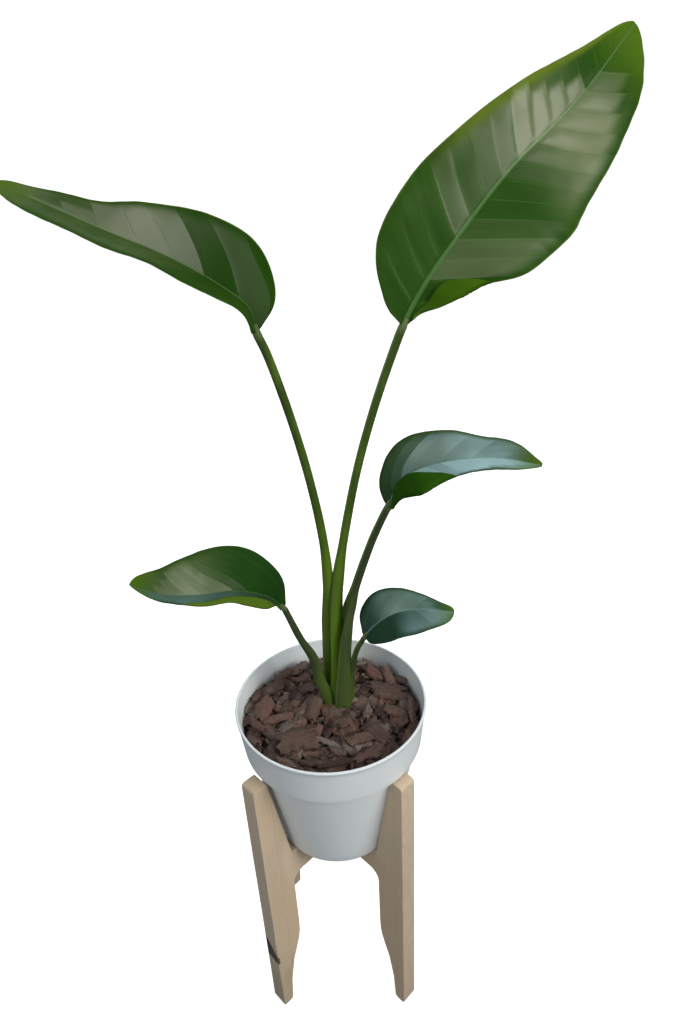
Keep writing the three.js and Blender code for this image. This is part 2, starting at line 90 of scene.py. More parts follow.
# Each shoot is one curve: the stalk's points come first and the blade's midrib follows.
# high and low are the two halves of the blade. angle: how each leaves the midrib, at base, middle
# and tip. width: half width at seven stations. curl: how far the margin rolls over near the base.
# fold: how far that margin really turns over, which the plain solid only hints at; the share of the
# half width where it does so at the base; and how far along the blade it has run out.
# vein: how steeply the side veins leave the midrib on either half, how far they curve, and how far
# apart they are. wave: height of the ripples on either margin and their number.
# relief: height of the step at each side vein. rib: the pale midrib's half width at base and tip,
# how clearly it shows and its colour. sheath: heights between which the stalk opens into its sheath.
# deep, bright: the blade's greens. bloom: colour of its waxy bloom, which also carries a painted
# sheen, the painted reflection of the lamps and of the sky, how thick it is, and where along the
# blade it starts and ends; the same for the other half. margin: how far its margin has yellowed.
# shine: how glossy each half is along the blade; the painted sheen is laid on more thickly where it
# is high.
# taper: share of the width at the very base, and where it is full. dull: how brownish the stalk is.
SHOOTS = {
    "tall_right": dict(
        stalk=[(10, 16, 385), (10, 16, 440), (14, 15.5, 540), (20, 17, 600), (29.5, 19, 655),
               (47, 22, 734), (66, 26, 797), (87, 32, 853)],
        radii=[10.5, 10.5, 9.6, 6.8, 4.7, 4.3, 4.2, 4.2], depth=0.9,
        midrib=[(96, 34, 874), (117, 44, 908), (159, 65, 957), (201, 85, 1000), (262, 115, 1048),
                (327, 155, 1114)],
        high=dict(angle=(97, 92, 90), bend=10, width=(30, 63, 68, 57, 46, 26, 12)),
        low=dict(angle=(255, 262, 266), bend=8, width=(20, 50, 74, 83, 64, 46, 25),
                 curl=110, curl_from=0.15, curl_to=0.35, fold=(172, 0.54, 0.235),
                 taper=(0.35, 0.09)),
        wave=(1.8, 2.0, 5), vein=(0.42, 0.75, 0.0012, 23.0), relief=0.8,
        rib=(2.4, 0.6, 0.9, (0.060, 0.140, 0.040)),
        sheath=(470, 600), dull=0.0, deep=(0.013, 0.052, 0.003), bright=(0.022, 0.068, 0.007),
        under=(0.044, 0.112, 0.004), margin=0.8,
        bloom_high=((0.155, 0.185, 0.095), 0.7, 0.50, 0.76),
        bloom_low=((0.155, 0.185, 0.095), 0.7, 0.55, 0.80),
        shine_high=((0, 0.05), (0.23, 0.05), (0.26, 0.5), (0.32, 0.45), (0.36, 0.2), (0.40, 0.1),
                    (0.43, 0.4), (0.49, 0.65), (0.55, 1), (0.76, 1), (0.81, 0)),
        shine_low=((0, 0), (0.14, 0), (0.17, 0.9), (0.21, 0.8), (0.25, 0.1), (0.28, 0.4),
                   (0.31, 0.05), (0.43, 0.05), (0.47, 0.15), (0.55, 0.4), (0.62, 0.9), (0.79, 1),
                   (0.84, 0))),
    "tall_left": dict(
        stalk=[(5, 24, 385), (5, 24, 437), (7, 23, 542), (10, 19.5, 603), (8, 13, 660),
               (-1, 6, 733), (-14, 0, 801), (-30, -6, 865)],
        radii=[8.6, 8.6, 7.6, 6.0, 4.7, 4.3, 4.1, 4], depth=0.85,
        midrib=[(-37, -8, 885), (-41, -8, 906), (-63, -2, 924), (-104, 10, 947), (-162, 28, 971),
                (-256, 54, 1012)],
        high=dict(angle=(80, 75, 50), bend=6, width=(12, 45, 47, 35, 20, 12, 7)),
        low=dict(angle=(182, 186, 190), bend=0, width=(20, 34, 36, 34, 33, 28, 13)),
        wave=(0.9, 0.5, 4), vein=(0.9, 0.9, 0.006, 34.0), relief=0.45,
        rib=(0.9, 0.45, 0.7, (0.085, 0.170, 0.050)),
        sheath=(585, 640), dull=0.0, deep=(0.012, 0.050, 0.002), bright=(0.018, 0.060, 0.004),
        under=(0.030, 0.080, 0.005), margin=0.1,
        bloom_high=((0.16, 0.18, 0.11), 0.6, 0.30, 0.97),
        bloom_low=((0.10, 0.14, 0.05), 0.6, 0.30, 1.00),
        shine_high=((0, 0), (0.05, 0), (0.07, 0.5), (0.12, 0.5), (0.15, 0), (0.24, 0.1),
                    (0.28, 0.8), (0.42, 1), (0.55, 0.75), (0.85, 0.75), (0.96, 0.5), (1, 0.1)),
        shine_low=((0, 0.1), (0.5, 0.1), (1, 0))),
    "mid_right": dict(
        stalk=[(17, 9, 385), (17.5, 9, 454), (22.5, 8.5, 532), (31, 7.5, 572), (41, 6, 608),
               (59, 0, 664), (72, -5, 697)],
        radii=[13, 12.5, 10.5, 7.4, 4.7, 4.2, 4], depth=0.8,
        midrib=[(76, -7, 706), (83, -8, 725), (97, -12, 742), (127, -22, 757), (170, -40, 767),
                (209, -60, 766)],
        high=dict(angle=(68, 55, 35), bend=0, width=(9, 22, 34, 30, 21, 17, 7)),
        low=dict(angle=(195, 190, 185), bend=0, width=(15, 26, 42, 28, 21, 18, 7),
                 curl=80, curl_from=0.25, curl_to=0.45, fold=(172, 0.56, 0.60)),
        wave=(0.8, 0.6, 4), vein=(1.2, 1.2, 0.006, 15.0), relief=0.15,
        rib=(1.0, 0.3, 0.6, (0.150, 0.300, 0.260)),
        sheath=(560, 610), dull=1.0, deep=(0.022, 0.054, 0.012), bright=(0.048, 0.084, 0.030),
        # Its underside is darker than on the other blades: painted shade on the margin that folds
        # over.
        under=(0.020, 0.078, 0.003), margin=0.1,
        bloom_high=((0.25, 0.39, 0.39), 1.7, 0.54, 0.86),
        bloom_low=((0.31, 0.48, 0.49), 1.8, 0.15, 0.95),
        shine_high=((0, 0), (0.13, 0.2), (0.2, 0.9), (0.32, 0.7), (0.5, 0.6), (0.7, 0.3), (1, 0)),
        shine_low=((0, 0.4), (0.8, 0.7), (1, 0.1))),
    "low_left": dict(
        stalk=[(3, 10, 385), (2, 10, 446), (-6, 6, 475), (-11, 0, 513), (-24, -5, 547),
               (-35, -9, 583)],
        radii=[8.5, 8, 6.9, 5.5, 4.2, 3.6], depth=0.8,
        midrib=[(-38, -10, 592), (-53, -16, 612), (-85, -28, 629), (-120, -44, 637),
                (-148, -60, 651), (-171, -75, 674)],
        high=dict(angle=(60, 50, 30), bend=0, width=(9, 28, 44, 46, 36, 23, 11)),
        low=dict(angle=(180, 170, 165), bend=0, width=(16, 30, 35, 30, 18, 14, 8),
                 curl=80, curl_from=0.4, curl_to=0.6, fold=(170, 0.72, 0.76), taper=(0.2, 0.22)),
        wave=(0.6, 0.5, 3), vein=(1.3, 1.3, 0.006, 16.0), relief=0.12,
        rib=(0.9, 0.3, 0.5, (0.060, 0.130, 0.040)),
        sheath=(490, 540), dull=0.8, deep=(0.006, 0.032, 0.005), bright=(0.014, 0.052, 0.007),
        under=(0.085, 0.155, 0.013), margin=0.1,
        bloom_high=((0.10, 0.14, 0.06), 0.6, 0.45, 0.90),
        bloom_low=((0.08, 0.15, 0.13), 0.8, 0.40, 0.95),
        shine_high=((0, 0), (0.3, 0), (0.38, 0.6), (0.75, 0.8), (0.9, 0.3), (1, 0)),
        shine_low=((0, 0.2), (0.5, 0.6), (1, 0.3))),
    "low_right": dict(
        stalk=[(29, 13, 385), (28, 12, 457), (30, 9, 479), (37, 4, 517), (43, 1, 532)],
        radii=[5.4, 5, 4.4, 3.2, 3], depth=0.85,
        midrib=[(47, 0, 540), (58, -2, 556), (79, -5, 573), (107, -10, 581), (143, -17, 580)],
        high=dict(angle=(45, 42, 40), bend=0, width=(9, 24, 31, 27, 17, 10, 6)),
        low=dict(angle=(205, 200, 195), bend=0, width=(13, 22, 29, 31, 29, 22, 13)),
        wave=(0.5, 0.5, 3), vein=(1.1, 1.1, 0.006, 14.0), relief=0.08,
        rib=(1.3, 0.35, 0.7, (0.110, 0.240, 0.210)),
        sheath=(465, 500), dull=0.7, deep=(0.014, 0.046, 0.026), bright=(0.024, 0.064, 0.038),
        under=(0.030, 0.080, 0.020), margin=0.1,
        bloom_high=((0.14, 0.23, 0.19), 1.1, 0.30, 0.80),
        bloom_low=((0.13, 0.21, 0.20), 1.0, 0.50, 1.00),
        shine_high=((0, 0.05), (0.2, 0.2), (0.45, 0.6), (0.8, 0.5), (1, 0.1)),
        shine_low=((0, 0), (0.45, 0.05), (0.6, 0.5), (0.9, 0.7), (1, 0.2))),
}


# ------------------------------------------------------------------ nodes

class Value:
    """What comes out of a node. Arithmetic on it adds Math nodes."""

    def __init__(self, nodes, socket):
        self.nodes = nodes
        self.socket = socket

    def math(self, operation, *others):
        return self.nodes.add("ShaderNodeMath", dict(operation=operation),
                              dict(enumerate([self, *others])))

    def reflected(self, operation, other):
        return self.nodes.add("ShaderNodeMath", dict(operation=operation), {0: other, 1: self})

    def __add__(self, other):
        return self.math("ADD", other)

    def __sub__(self, other):
        return self.math("SUBTRACT", other)

    def __rsub__(self, other):
        return self.reflected("SUBTRACT", other)

    def __mul__(self, other):
        return self.math("MULTIPLY", other)

    def __truediv__(self, other):
        return self.math("DIVIDE", other)

    def __rtruediv__(self, other):
        return self.reflected("DIVIDE", other)

    def __abs__(self):
        return self.math("ABSOLUTE")

    __radd__, __rmul__ = __add__, __mul__

    def smooth(self, low, high):
        """0 at low, 1 at high and a smooth step between; low may be the greater."""
        rising = self.nodes.add("ShaderNodeMapRange", dict(interpolation_type="SMOOTHSTEP"),
                                {0: self, 1: min(low, high), 2: max(low, high)})
        return rising if low < high else 1 - rising

    def part(self, index):
        """X, Y or Z of a vector."""
        return self.nodes.add("ShaderNodeSeparateXYZ", {}, {0: self}, index)

    def stretch(self, scale):
        return self.nodes.add("ShaderNodeVectorMath", dict(operation="MULTIPLY"),
                              {0: self, 1: scale})

    def length(self):
        return self.nodes.add("ShaderNodeVectorMath", dict(operation="LENGTH"), {0: self},
                              "Value")


class Nodes:
    """Adds nodes to one tree."""

    def __init__(self, tree):
        self.tree = tree

    def add(self, kind, settings, inputs, out=0):
        """A node of any kind: its settings first, then the values or links of its sockets."""
        node = self.tree.nodes.new(kind)
        for key, value in settings.items():
            if key == "stops":
                ramp = node.color_ramp.elements
                while len(ramp) < len(value):
                    ramp.new(0.5)
                for element, (place, colour) in zip(ramp, value):
                    element.position = place
                    element.color = (*colour, 1)
            else:
                setattr(node, key, value)
        for key, value in inputs.items():
            self.feed(node.inputs[key], value)
        return Value(self, node.outputs[out])

    def feed(self, socket, value):
        if isinstance(value, Value):
            self.tree.links.new(value.socket, socket)
        else:
            socket.default_value = (*value, 1) if socket.type == "RGBA" else value

    def vector(self, x, y, z=0.0):
        return self.add("ShaderNodeCombineXYZ", {}, {0: x, 1: y, 2: z})


class Shader(Nodes):
    """One material."""

    def __init__(self, name):
        self.material = bpy.data.materials.new(name)
        self.material.use_nodes = True
        super().__init__(self.material.node_tree)
        self.tree.nodes.clear()
        self.surface = self.tree.nodes.new("ShaderNodeBsdfPrincipled")
        output = self.tree.nodes.new("ShaderNodeOutputMaterial")
        self.tree.links.new(self.surface.outputs[0], output.inputs[0])

    def place(self, centre=(0, 0, 0), turn=0.0):
        """The point on the object, seen from a centre and turned about +Z."""
        point = self.add("ShaderNodeTexCoord", {}, {}, "Object")
        return self.add("ShaderNodeMapping", dict(vector_type="TEXTURE"),
                        {0: point, 1: tuple(centre), 2: (0, 0, math.radians(turn))})

    def uv(self, name):
        return self.add("ShaderNodeUVMap", dict(uv_map=name), {})

    def attribute(self, name, out):
        return self.add("ShaderNodeAttribute", dict(attribute_name=name), {}, out)

    def noise(self, vector, scale, detail=3.0, roughness=0.5):
        return self.add("ShaderNodeTexNoise", {}, {
            "Vector": vector, "Scale": scale, "Detail": detail, "Roughness": roughness})

    def chance(self, number):
        """A random number that is the same wherever the given one is."""
        return self.add("ShaderNodeTexWhiteNoise", dict(noise_dimensions="1D"), {"W": number},
                        "Value")

    def ramp(self, value, *stops):
        return self.add("ShaderNodeValToRGB", dict(stops=stops), {0: value})

    def mix(self, factor, first, second):
        """Colours: first where the factor is 0, second where it is 1."""
        return self.add("ShaderNodeMix", dict(data_type="RGBA"),
                        {0: factor, 6: first, 7: second}, 2)

    def paint(self, colour, *coats):
        """A colour with others laid over it, each as far as its mask says."""
        for mask, tint in coats:
            colour = self.mix(mask, colour, tint)
        return colour

    def bump(self, height, distance, strength):
        return self.add("ShaderNodeBump", {}, {
            "Strength": strength, "Distance": distance, "Height": height})

    def finish(self, **inputs):
        """Sets the surface: underscores stand for spaces in a socket's name."""
        for key, value in inputs.items():
            self.feed(self.surface.inputs[key.replace("_", " ").title().replace("Ior", "IOR")],
                      value)
        return self.material


class Tree(Nodes):
    """One Geometry Nodes tree with named inputs."""

    def __init__(self, name, inputs):
        super().__init__(bpy.data.node_groups.new(name, "GeometryNodeTree"))
        self.tree.is_modifier = True
        side = self.tree.interface
        side.new_socket("Geometry", in_out="INPUT", socket_type="NodeSocketGeometry")
        self.names = {}
        for label, (kind, value) in inputs.items():
            socket = side.new_socket(label, in_out="INPUT", socket_type="NodeSocket" + kind)
            if value is not None:
                socket.default_value = value
            self.names[label] = socket.identifier
        side.new_socket("Geometry", in_out="OUTPUT", socket_type="NodeSocketGeometry")
        self.source = self.tree.nodes.new("NodeGroupInput")
        self.sink = self.tree.nodes.new("NodeGroupOutput")

    def input(self, label):
        return Value(self, self.source.outputs[label])

    def feed(self, socket, value):
        """The name of one of the tree's inputs stands for that input."""
        super().feed(socket, self.input(value) if value in self.names else value)

    def make(self, kind, inputs, out=0, **settings):
        return self.add("GeometryNode" + kind, settings, inputs, out)

    def chance(self, low, high, seed):
        """A random number for each point or piece."""
        return self.add("FunctionNodeRandomValue", dict(data_type="FLOAT"),
                        {2: low, 3: high, "Seed": seed}, 1)

    def set_radius(self, geometry, change):
        """Moves every point so that its distance from +Z is multiplied by change(distance)."""
        point = self.make("InputPosition", {})
        share = change(point.stretch((1, 1, 0)).length())
        place = self.vector(point.part(0) * share, point.part(1) * share, point.part(2))
        return self.make("SetPosition", {"Geometry": geometry, "Position": place})

    def end(self, geometry):
        """Realises everything, gives it its material and ends the tree."""
        real = self.make("RealizeInstances", {0: geometry})
        painted = self.make("SetMaterial", {"Geometry": real, "Material": "Material"})
        self.feed(self.sink.inputs[0], painted)
        return self

    def apply(self, obj, values):
        """Runs the tree on the object with these inputs and leaves a plain mesh."""
        modifier = obj.modifiers.new(self.tree.name, "NODES")
        modifier.node_group = self.tree
        for label, value in values.items():
            modifier[self.names[label]] = value
        return evaluated(obj)


# ------------------------------------------------------------------ mesh helpers

def smoothstep(x, low, high):
    t = np.clip((np.asarray(x, float) - low) / (high - low), 0, 1)
    return t * t * (3 - 2 * t)


def scaled(colour, share):
    return tuple(part * share for part in colour)


def three_way(values, u):
    """A smooth curve through values at 0, 1/2 and 1."""
    start, middle, end = values
    return start * (1 - u) * (1 - 2 * u) + middle * 4 * u * (1 - u) + end * u * (2 * u - 1)


def hermite(t, start, end, first, last):
    """A smooth curve from start to end that leaves and arrives at the given slopes."""
    return (start * (2 * t**3 - 3 * t**2 + 1) + first * (t**3 - 2 * t**2 + t)
            + end * (3 * t**2 - 2 * t**3) + last * (t**3 - t**2))


def arc(centre, radius, start, end, steps):
    """Points on part of a circle, angles in degrees."""
    angles = np.radians(np.linspace(start, end, steps))
    return [(centre[0] + radius * math.cos(a), centre[1] + radius * math.sin(a)) for a in angles]


def level_ring(radius, height, sides):
    """Points all the way round +Z."""
    turns = [2 * math.pi * k / sides for k in range(sides)]
    return [(radius * math.cos(a), radius * math.sin(a), height) for a in turns]


def slab_faces(rows, columns):
    """Faces of a closed slab: cell by cell the upper and the lower one, and then the rim."""
    faces = []

    def at(i, j, below=0):
        return i * columns + j + below * rows * columns

    for i in range(rows - 1):
        for j in range(columns - 1):
            faces.append((at(i, j), at(i + 1, j), at(i + 1, j + 1), at(i, j + 1)))
            faces.append((at(i, j, 1), at(i, j + 1, 1), at(i + 1, j + 1, 1), at(i + 1, j, 1)))
    rim = [(i, 0) for i in range(rows)] + [(rows - 1, j) for j in range(1, columns)]
    rim += [(i, columns - 1) for i in range(rows - 2, -1, -1)]
    rim += [(0, j) for j in range(columns - 2, 0, -1)]
    for first, second in zip(rim, rim[1:] + rim[:1]):
        faces.append((at(*second), at(*first), at(*first, 1), at(*second, 1)))
    return faces


def tube_faces(rows, sides):
    """Faces between closed rings of points."""
    faces = []
    for row in range(rows):
        for side in range(sides):
            a, b = row * sides + side, row * sides + (side + 1) % sides
            faces.append((a, b, b + sides, a + sides))
    return faces


def new_object(name, vertices, faces, smooth=True, edges=()):
    mesh = bpy.data.meshes.new(name)
    mesh.from_pydata([tuple(v) for v in vertices], edges, faces)
    mesh.polygons.foreach_set("use_smooth", [smooth] * len(mesh.polygons))
    mesh.update()
    obj = bpy.data.objects.new(name, mesh)
    bpy.context.scene.collection.objects.link(obj)
    return obj


def set_uv(mesh, name, per_vertex):
    """A UV map from one pair of numbers for each vertex."""
    layer = mesh.uv_layers.new(name=name)
    corners = np.empty(len(mesh.loops), np.int32)
    mesh.loops.foreach_get("vertex_index", corners)
    layer.data.foreach_set("uv", np.asarray(per_vertex, np.float32)[corners].ravel())


def set_chip(mesh, place=None, tone=None):
    """What the bark's material reads: a point in the chip's own frame, and the chip's tone."""
    for name, kind, key, values in (("chip_place", "FLOAT_VECTOR", "vector", place),
                                    ("chip_tone", "FLOAT", "value", tone)):
        if values is not None:
            layer = mesh.attributes.new(name, kind, "POINT")
            layer.data.foreach_set(key, np.asarray(values, np.float32).ravel())


def settle(obj, slot_name, *nodes):
    """A finished piece rides on the part and stands for these plain solids."""
    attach(obj, "root")
    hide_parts(*nodes)


def evaluated(obj):
    """The object with its modifiers worked out, as a plain mesh."""
    bpy.context.view_layer.update()
    graph = bpy.context.evaluated_depsgraph_get()
    mesh = bpy.data.meshes.new_from_object(obj.evaluated_get(graph))
    obj.modifiers.clear()
    old = obj.data
    obj.data = mesh
    mesh.name = old.name
    bpy.data.meshes.remove(old)
    return obj


def outwards(mesh):
    """Turns a closed mesh's faces outwards."""
    work = bmesh.new()
    work.from_mesh(mesh)
    bmesh.ops.remove_doubles(work, verts=work.verts, dist=1e-7)
    bmesh.ops.recalc_face_normals(work, faces=work.faces)
    work.to_mesh(mesh)
    work.free()
    mesh.update()


# ------------------------------------------------------------------ shoots

class Spine:
    """A shoot's curve, read by distance along it, in millimetres."""

    STEPS = 60

    def __init__(self, shoot):
        points = np.array([*shoot["stalk"], *shoot["midrib"]], float)
        ends = np.vstack([2 * points[0] - points[1], points, 2 * points[-1] - points[-2]])
        line = [self.stretch(*ends[i:i + 4]) for i in range(len(ends) - 3)]
        self.points = np.vstack([*line, points[-1:]])
        steps = np.linalg.norm(np.diff(self.points, axis=0), axis=1)
        self.distances = np.concatenate([[0], np.cumsum(steps)])
        self.stations = self.distances[::self.STEPS][:len(shoot["stalk"])]
        self.stalk_length = self.distances[self.STEPS * len(shoot["stalk"])]
        self.length = self.distances[-1]
        self.side = 1 if points[-1][0] < points[0][0] else -1

    def stretch(self, before, start, end, after):
        """Points of the curve between start and end, without end itself."""
        gaps = [np.linalg.norm(b - a) ** 0.5
                for a, b in ((before, start), (start, end), (end, after))]
        first = (start - before) / gaps[0] - (end - before) / (gaps[0] + gaps[1])
        first = (first + (end - start) / gaps[1]) * gaps[1]
        last = (end - start) / gaps[1] - (after - start) / (gaps[1] + gaps[2])
        last = (last + (after - end) / gaps[2]) * gaps[1]
        t = np.linspace(0, 1, self.STEPS, endpoint=False)[:, None]
        return hermite(t, start, end, first, last)

    def at(self, distance):
        return np.array([np.interp(distance, self.distances, self.points[:, k])
                         for k in range(3)]).T

    def frames(self, distance, reach=5.0):
        """Centre, level direction away from the front, and up, at each distance."""
        after = self.at(np.minimum(distance + reach, self.length))
        before = self.at(np.maximum(distance - reach, 0))
        along = after - before
        along /= np.linalg.norm(along, axis=1)[:, None]
        back = np.array([0, 1, 0]) - along[:, 1:2] * along
        back /= np.linalg.norm(back, axis=1)[:, None]
        return self.at(distance), back, np.cross(back, along) * self.side


def half_width(widths, turn):
    """Half width of a blade: a smooth curve through its stations, from base to tip."""
    values = np.array([3.0, *widths, 1.6])
    place = turn / math.pi * (len(values) - 1)
    i = np.minimum(place.astype(int), len(values) - 2)
    t = place - i
    p0, p1 = values[np.maximum(i - 1, 0)], values[i]
    p2, p3 = values[i + 1], values[np.minimum(i + 2, len(values) - 1)]
    return np.maximum(hermite(t, p1, p2, (p2 - p0) / 2, (p3 - p1) / 2), 1.2)


def reach(turned):
    """How far a half gets from the midrib, as a share of its width, while it turns so."""
    return np.cumsum(np.cos(np.radians(turned)), axis=1).max(axis=1) / turned.shape[1]


def undulation(along, across, phase):
    """Gentle unevenness of a blade, in millimetres."""
    wave = np.sin(along / 23 + across / 31 + phase) * np.cos(across / 17 - along / 47 + phase)
    return wave + 0.6 * np.sin(along / 11 - across / 19 + 2.3 * phase)


def half_surface(half, sign, frames, u, widths, shares):
    """Points and upward normals of one half, and its width: rows along the blade, columns out."""
    centre, back, up = frames
    steps = 80
    middles = (np.arange(steps) + 0.5) / steps
    rolled = smoothstep(u, 0, 0.05)
    if "curl" in half:
        rolled = rolled * (1 - smoothstep(u, half["curl_from"], half["curl_to"]))

    def turned(v):
        return half["bend"] * v[None, :] + half.get("curl", 0) * rolled[:, None] * (
            smoothstep(v, 0.45, 1)[None, :])

    def drooping(v):
        return turned(v) - 12 * smoothstep(v, 0.55, 1)[None, :]

    def folded(v):
        amount, start, end = half["fold"]
        line = start + 0.2 * (1 - smoothstep(u, 0, 0.16))
        line = (line + (1.1 - line) * np.clip(u / end, 0, 1) ** 4)[:, None]
        over = smoothstep((v[None, :] - line) / 0.08, -1, 1) * smoothstep(u, 0, 0.04)[:, None]
        return half["bend"] * v[None, :] + amount * over - 10 * smoothstep(v, 0.6, 1)[None, :]

    bent = drooping
    if "fold" in half:
        # The margin folds over further than in the plain solid, and the outline stays.
        bent = folded
        widths = widths * reach(turned(middles)) / reach(folded(middles))

    def heading(v):
        return np.radians(three_way(half["angle"], u)[:, None] + sign * bent(v))

    def direction(angle):
        return (np.cos(angle)[..., None] * back[:, None, :]
                + np.sin(angle)[..., None] * up[:, None, :])

    step = direction(heading(middles)) * (widths / steps)[:, None, None]
    path = np.concatenate([np.zeros((len(u), 1, 3)), np.cumsum(step, axis=1)], axis=1)
    path += centre[:, None, :]
    place = shares * steps
    i = np.minimum(place.astype(int), steps - 1)
    t = (place - i)[None, :, None]
    points = path[:, i] * (1 - t) + path[:, i + 1] * t
    return points, direction(heading(shares) + sign * math.pi / 2), widths


def vein_phase(shoot, along, across):
    """Counts the side veins: a whole number on each vein."""
    *slopes, curve, spacing = shoot["vein"]
    slope = np.where(across > 0, *slopes)
    return (along - np.abs(across) * slope - curve * across**2) / spacing


def blade_mesh(name, shoot, look):
    """A leaf blade: two pleated halves on a grooved midrib, with a rib below."""
    spine = Spine(shoot)
    length = spine.length - spine.stalk_length
    turn = np.linspace(0, math.pi, look.rows + 1)
    u = (1 - np.cos(turn)) / 2
    frames = spine.frames(spine.stalk_length + u * length)
    shares = np.linspace(0, 1, look.columns + 1) ** 1.12
    v = shares[None, :]
    along = (u * length)[:, None]
    rib = shoot["rib"][0]
    *sizes, count = shoot["wave"]
    sides = []
    for key, sign, size in (("high", 1, sizes[0]), ("low", -1, sizes[1])):
        half = shoot[key]
        least, full = half.get("taper", (0.7, 0.015))
        widths = half_width(half["width"], turn) * (least + (1 - least) * smoothstep(u, 0, full))
        points, normals, widths = half_surface(half, sign, frames, u, widths, shares)
        across = widths[:, None] * v
        narrow = np.minimum(1, widths / 20)[:, None]
        waves = 2 * math.pi * count * u
        ripple = size * v**2 * np.sin(waves + sign)[:, None] * narrow
        flutter = 0.2 * size * v**4 * np.sin(3.7 * waves + 2 * sign)[:, None] * narrow
        # Between two side veins the blade is a nearly flat panel that rises to a step at the vein.
        phase = vein_phase(shoot, along, across * sign)
        own = np.abs(np.sin(np.floor(phase) * 12.99 + 7 * sign) * 43.7) % 1.0
        phase = phase % 1.0
        panel = np.where(phase < 0.86, phase / 0.86, (1 - phase) / 0.14)
        panel = (panel - 0.5) * (0.55 + 0.9 * own) + 0.25 * np.sin(math.pi * phase)
        fade = smoothstep(across, 1.5, 9) * (1 - smoothstep(v, 0.55, 0.92)) * narrow
        groove = -0.25 * rib * (1 - smoothstep(across, 0.2 * rib, 1.5 * rib))
        groove = groove * (1 - 0.6 * u)[:, None]
        uneven = look.uneven / MM * undulation(along, across * sign, len(name)) * v * narrow
        lift = ripple + flutter + shoot["relief"] * look.pleat * panel * fade + groove + uneven
        sides.append(dict(points=points + normals * lift[..., None], normals=normals,
                          across=across * sign, v=np.broadcast_to(v * sign, across.shape)))
    high, low = sides
    middle = high["normals"][:, :1] + low["normals"][:, :1]
    high["normals"][:, :1] = middle / np.linalg.norm(middle, axis=2)[..., None]
    points, normals, across, v = (np.concatenate([low[key][:, :0:-1], high[key]], axis=1)
                                  for key in ("points", "normals", "across", "v"))
    # The ridge below the midrib is as thick as the stalk at the base and fades to the tip.
    ridge_width = (3.4 - 1.9 * smoothstep(u, 0, 0.2))[:, None]
    ridge_depth = (0.8 + 3.6 * (1 - smoothstep(u, 0, 0.7)))[:, None]
    ridge = ridge_depth * np.sqrt(np.clip(1 - (across / ridge_width) ** 2, 0, 1))
    thin = 0.3 + 0.25 * (1 - smoothstep(np.abs(v), 0.9, 1))
    vertices = np.concatenate([points + normals * (thin / 2)[..., None],
                               points - normals * np.maximum(thin / 2, ridge)[..., None]])
    faces = slab_faces(*across.shape)
    under = np.zeros(len(faces), np.int32)
    under[1:2 * (across.shape[0] - 1) * (across.shape[1] - 1):2] = 1
    obj = new_object(f"leaf_{name}", (vertices.reshape(-1, 3) + SHIFT) * MM, faces)
    lay = np.stack([np.broadcast_to(along, v.shape), across], axis=-1).reshape(-1, 2) * MM
    share = np.stack([np.broadcast_to(u[:, None], v.shape), v * 0.5 + 0.5], axis=-1)
    set_uv(obj.data, "lay", np.concatenate([lay, lay]))
    set_uv(obj.data, "share", np.concatenate([share.reshape(-1, 2)] * 2))
    obj.data.polygons.foreach_set("material_index", under)
    outwards(obj.data)
    return obj


def stalk_mesh(name, shoot, look):
    """A stalk: grooved on its upper side, opening downwards into a sheath with thin margins."""
    spine = Spine(shoot)
    end = spine.stalk_length + 7
    rows = int(end / 2.5)
    distance = np.linspace(0, end, rows + 1)
    centre, back, up = spine.frames(distance)
    part = np.interp(distance, spine.stations, np.arange(len(spine.stations)))
    i = np.minimum(part.astype(int), len(spine.stations) - 2)
    t = smoothstep(part - i, 0, 1)
    radii = np.array(shoot["radii"], float)
    radius = radii[i] * (1 - t) + radii[i + 1] * t
    radius = radius * (1 - 0.35 * smoothstep(distance, spine.stalk_length - 2, end))
    shut, open_from = shoot["sheath"]
    sheathed = 1 - smoothstep(centre[:, 2], shut, open_from)
    gap = np.radians(24 + 20 * sheathed - 22 * (1 - smoothstep(centre[:, 2], 425, 520)))
    wall, outer_sides, inner_sides = 1.5, 30, 18
    turn = math.radians(look.sheath_turn) * spine.side

    def ring(radius, around):
        """Points at a radius, from one margin of the gap round to the other."""
        angles = gap[:, None] + (2 * math.pi - 2 * gap[:, None]) * around + turn
        across = np.cos(angles)[..., None] * up[:, None, :]
        deep = np.sin(angles)[..., None] * back[:, None, :] * shoot["depth"]
        return centre[:, None, :] + (across + deep) * radius[:, None, None]

    around = np.linspace(0, 1, outer_sides)[None, :]
    inward = np.linspace(1, 0, inner_sides + 2)[1:-1][None, :]
    outer = ring(radius, around)
    across = outer[:, -1:] * inward[..., None] + outer[:, :1] * (1 - inward[..., None])
    hollow = np.sin(math.pi * inward) * (radius * 0.34)[:, None]
    toward = centre[:, None, :] - across
    toward /= np.linalg.norm(toward, axis=2)[..., None] + 1e-9
    groove = across + toward * hollow[..., None]
    share = sheathed[:, None, None]
    inner = groove * (1 - share) + ring(radius - wall, inward) * share
    rings = np.concatenate([outer, inner], axis=1)
    sides = outer_sides + inner_sides
    faces = [list(range(sides)), list(range(rows * sides, (rows + 1) * sides))[::-1]]
    faces += tube_faces(rows, sides)
    obj = new_object(f"stem_{name}", (rings.reshape(-1, 3) + SHIFT) * MM, faces)
    round_share = np.concatenate([around[0], np.full(inner_sides, 1.5)])
    along = (distance / spine.stalk_length)[:, None]
    lay = np.stack(np.broadcast_arrays(round_share[None, :], along), axis=-1)
    set_uv(obj.data, "lay", lay.reshape(-1, 2))
    outwards(obj.data)
    return obj


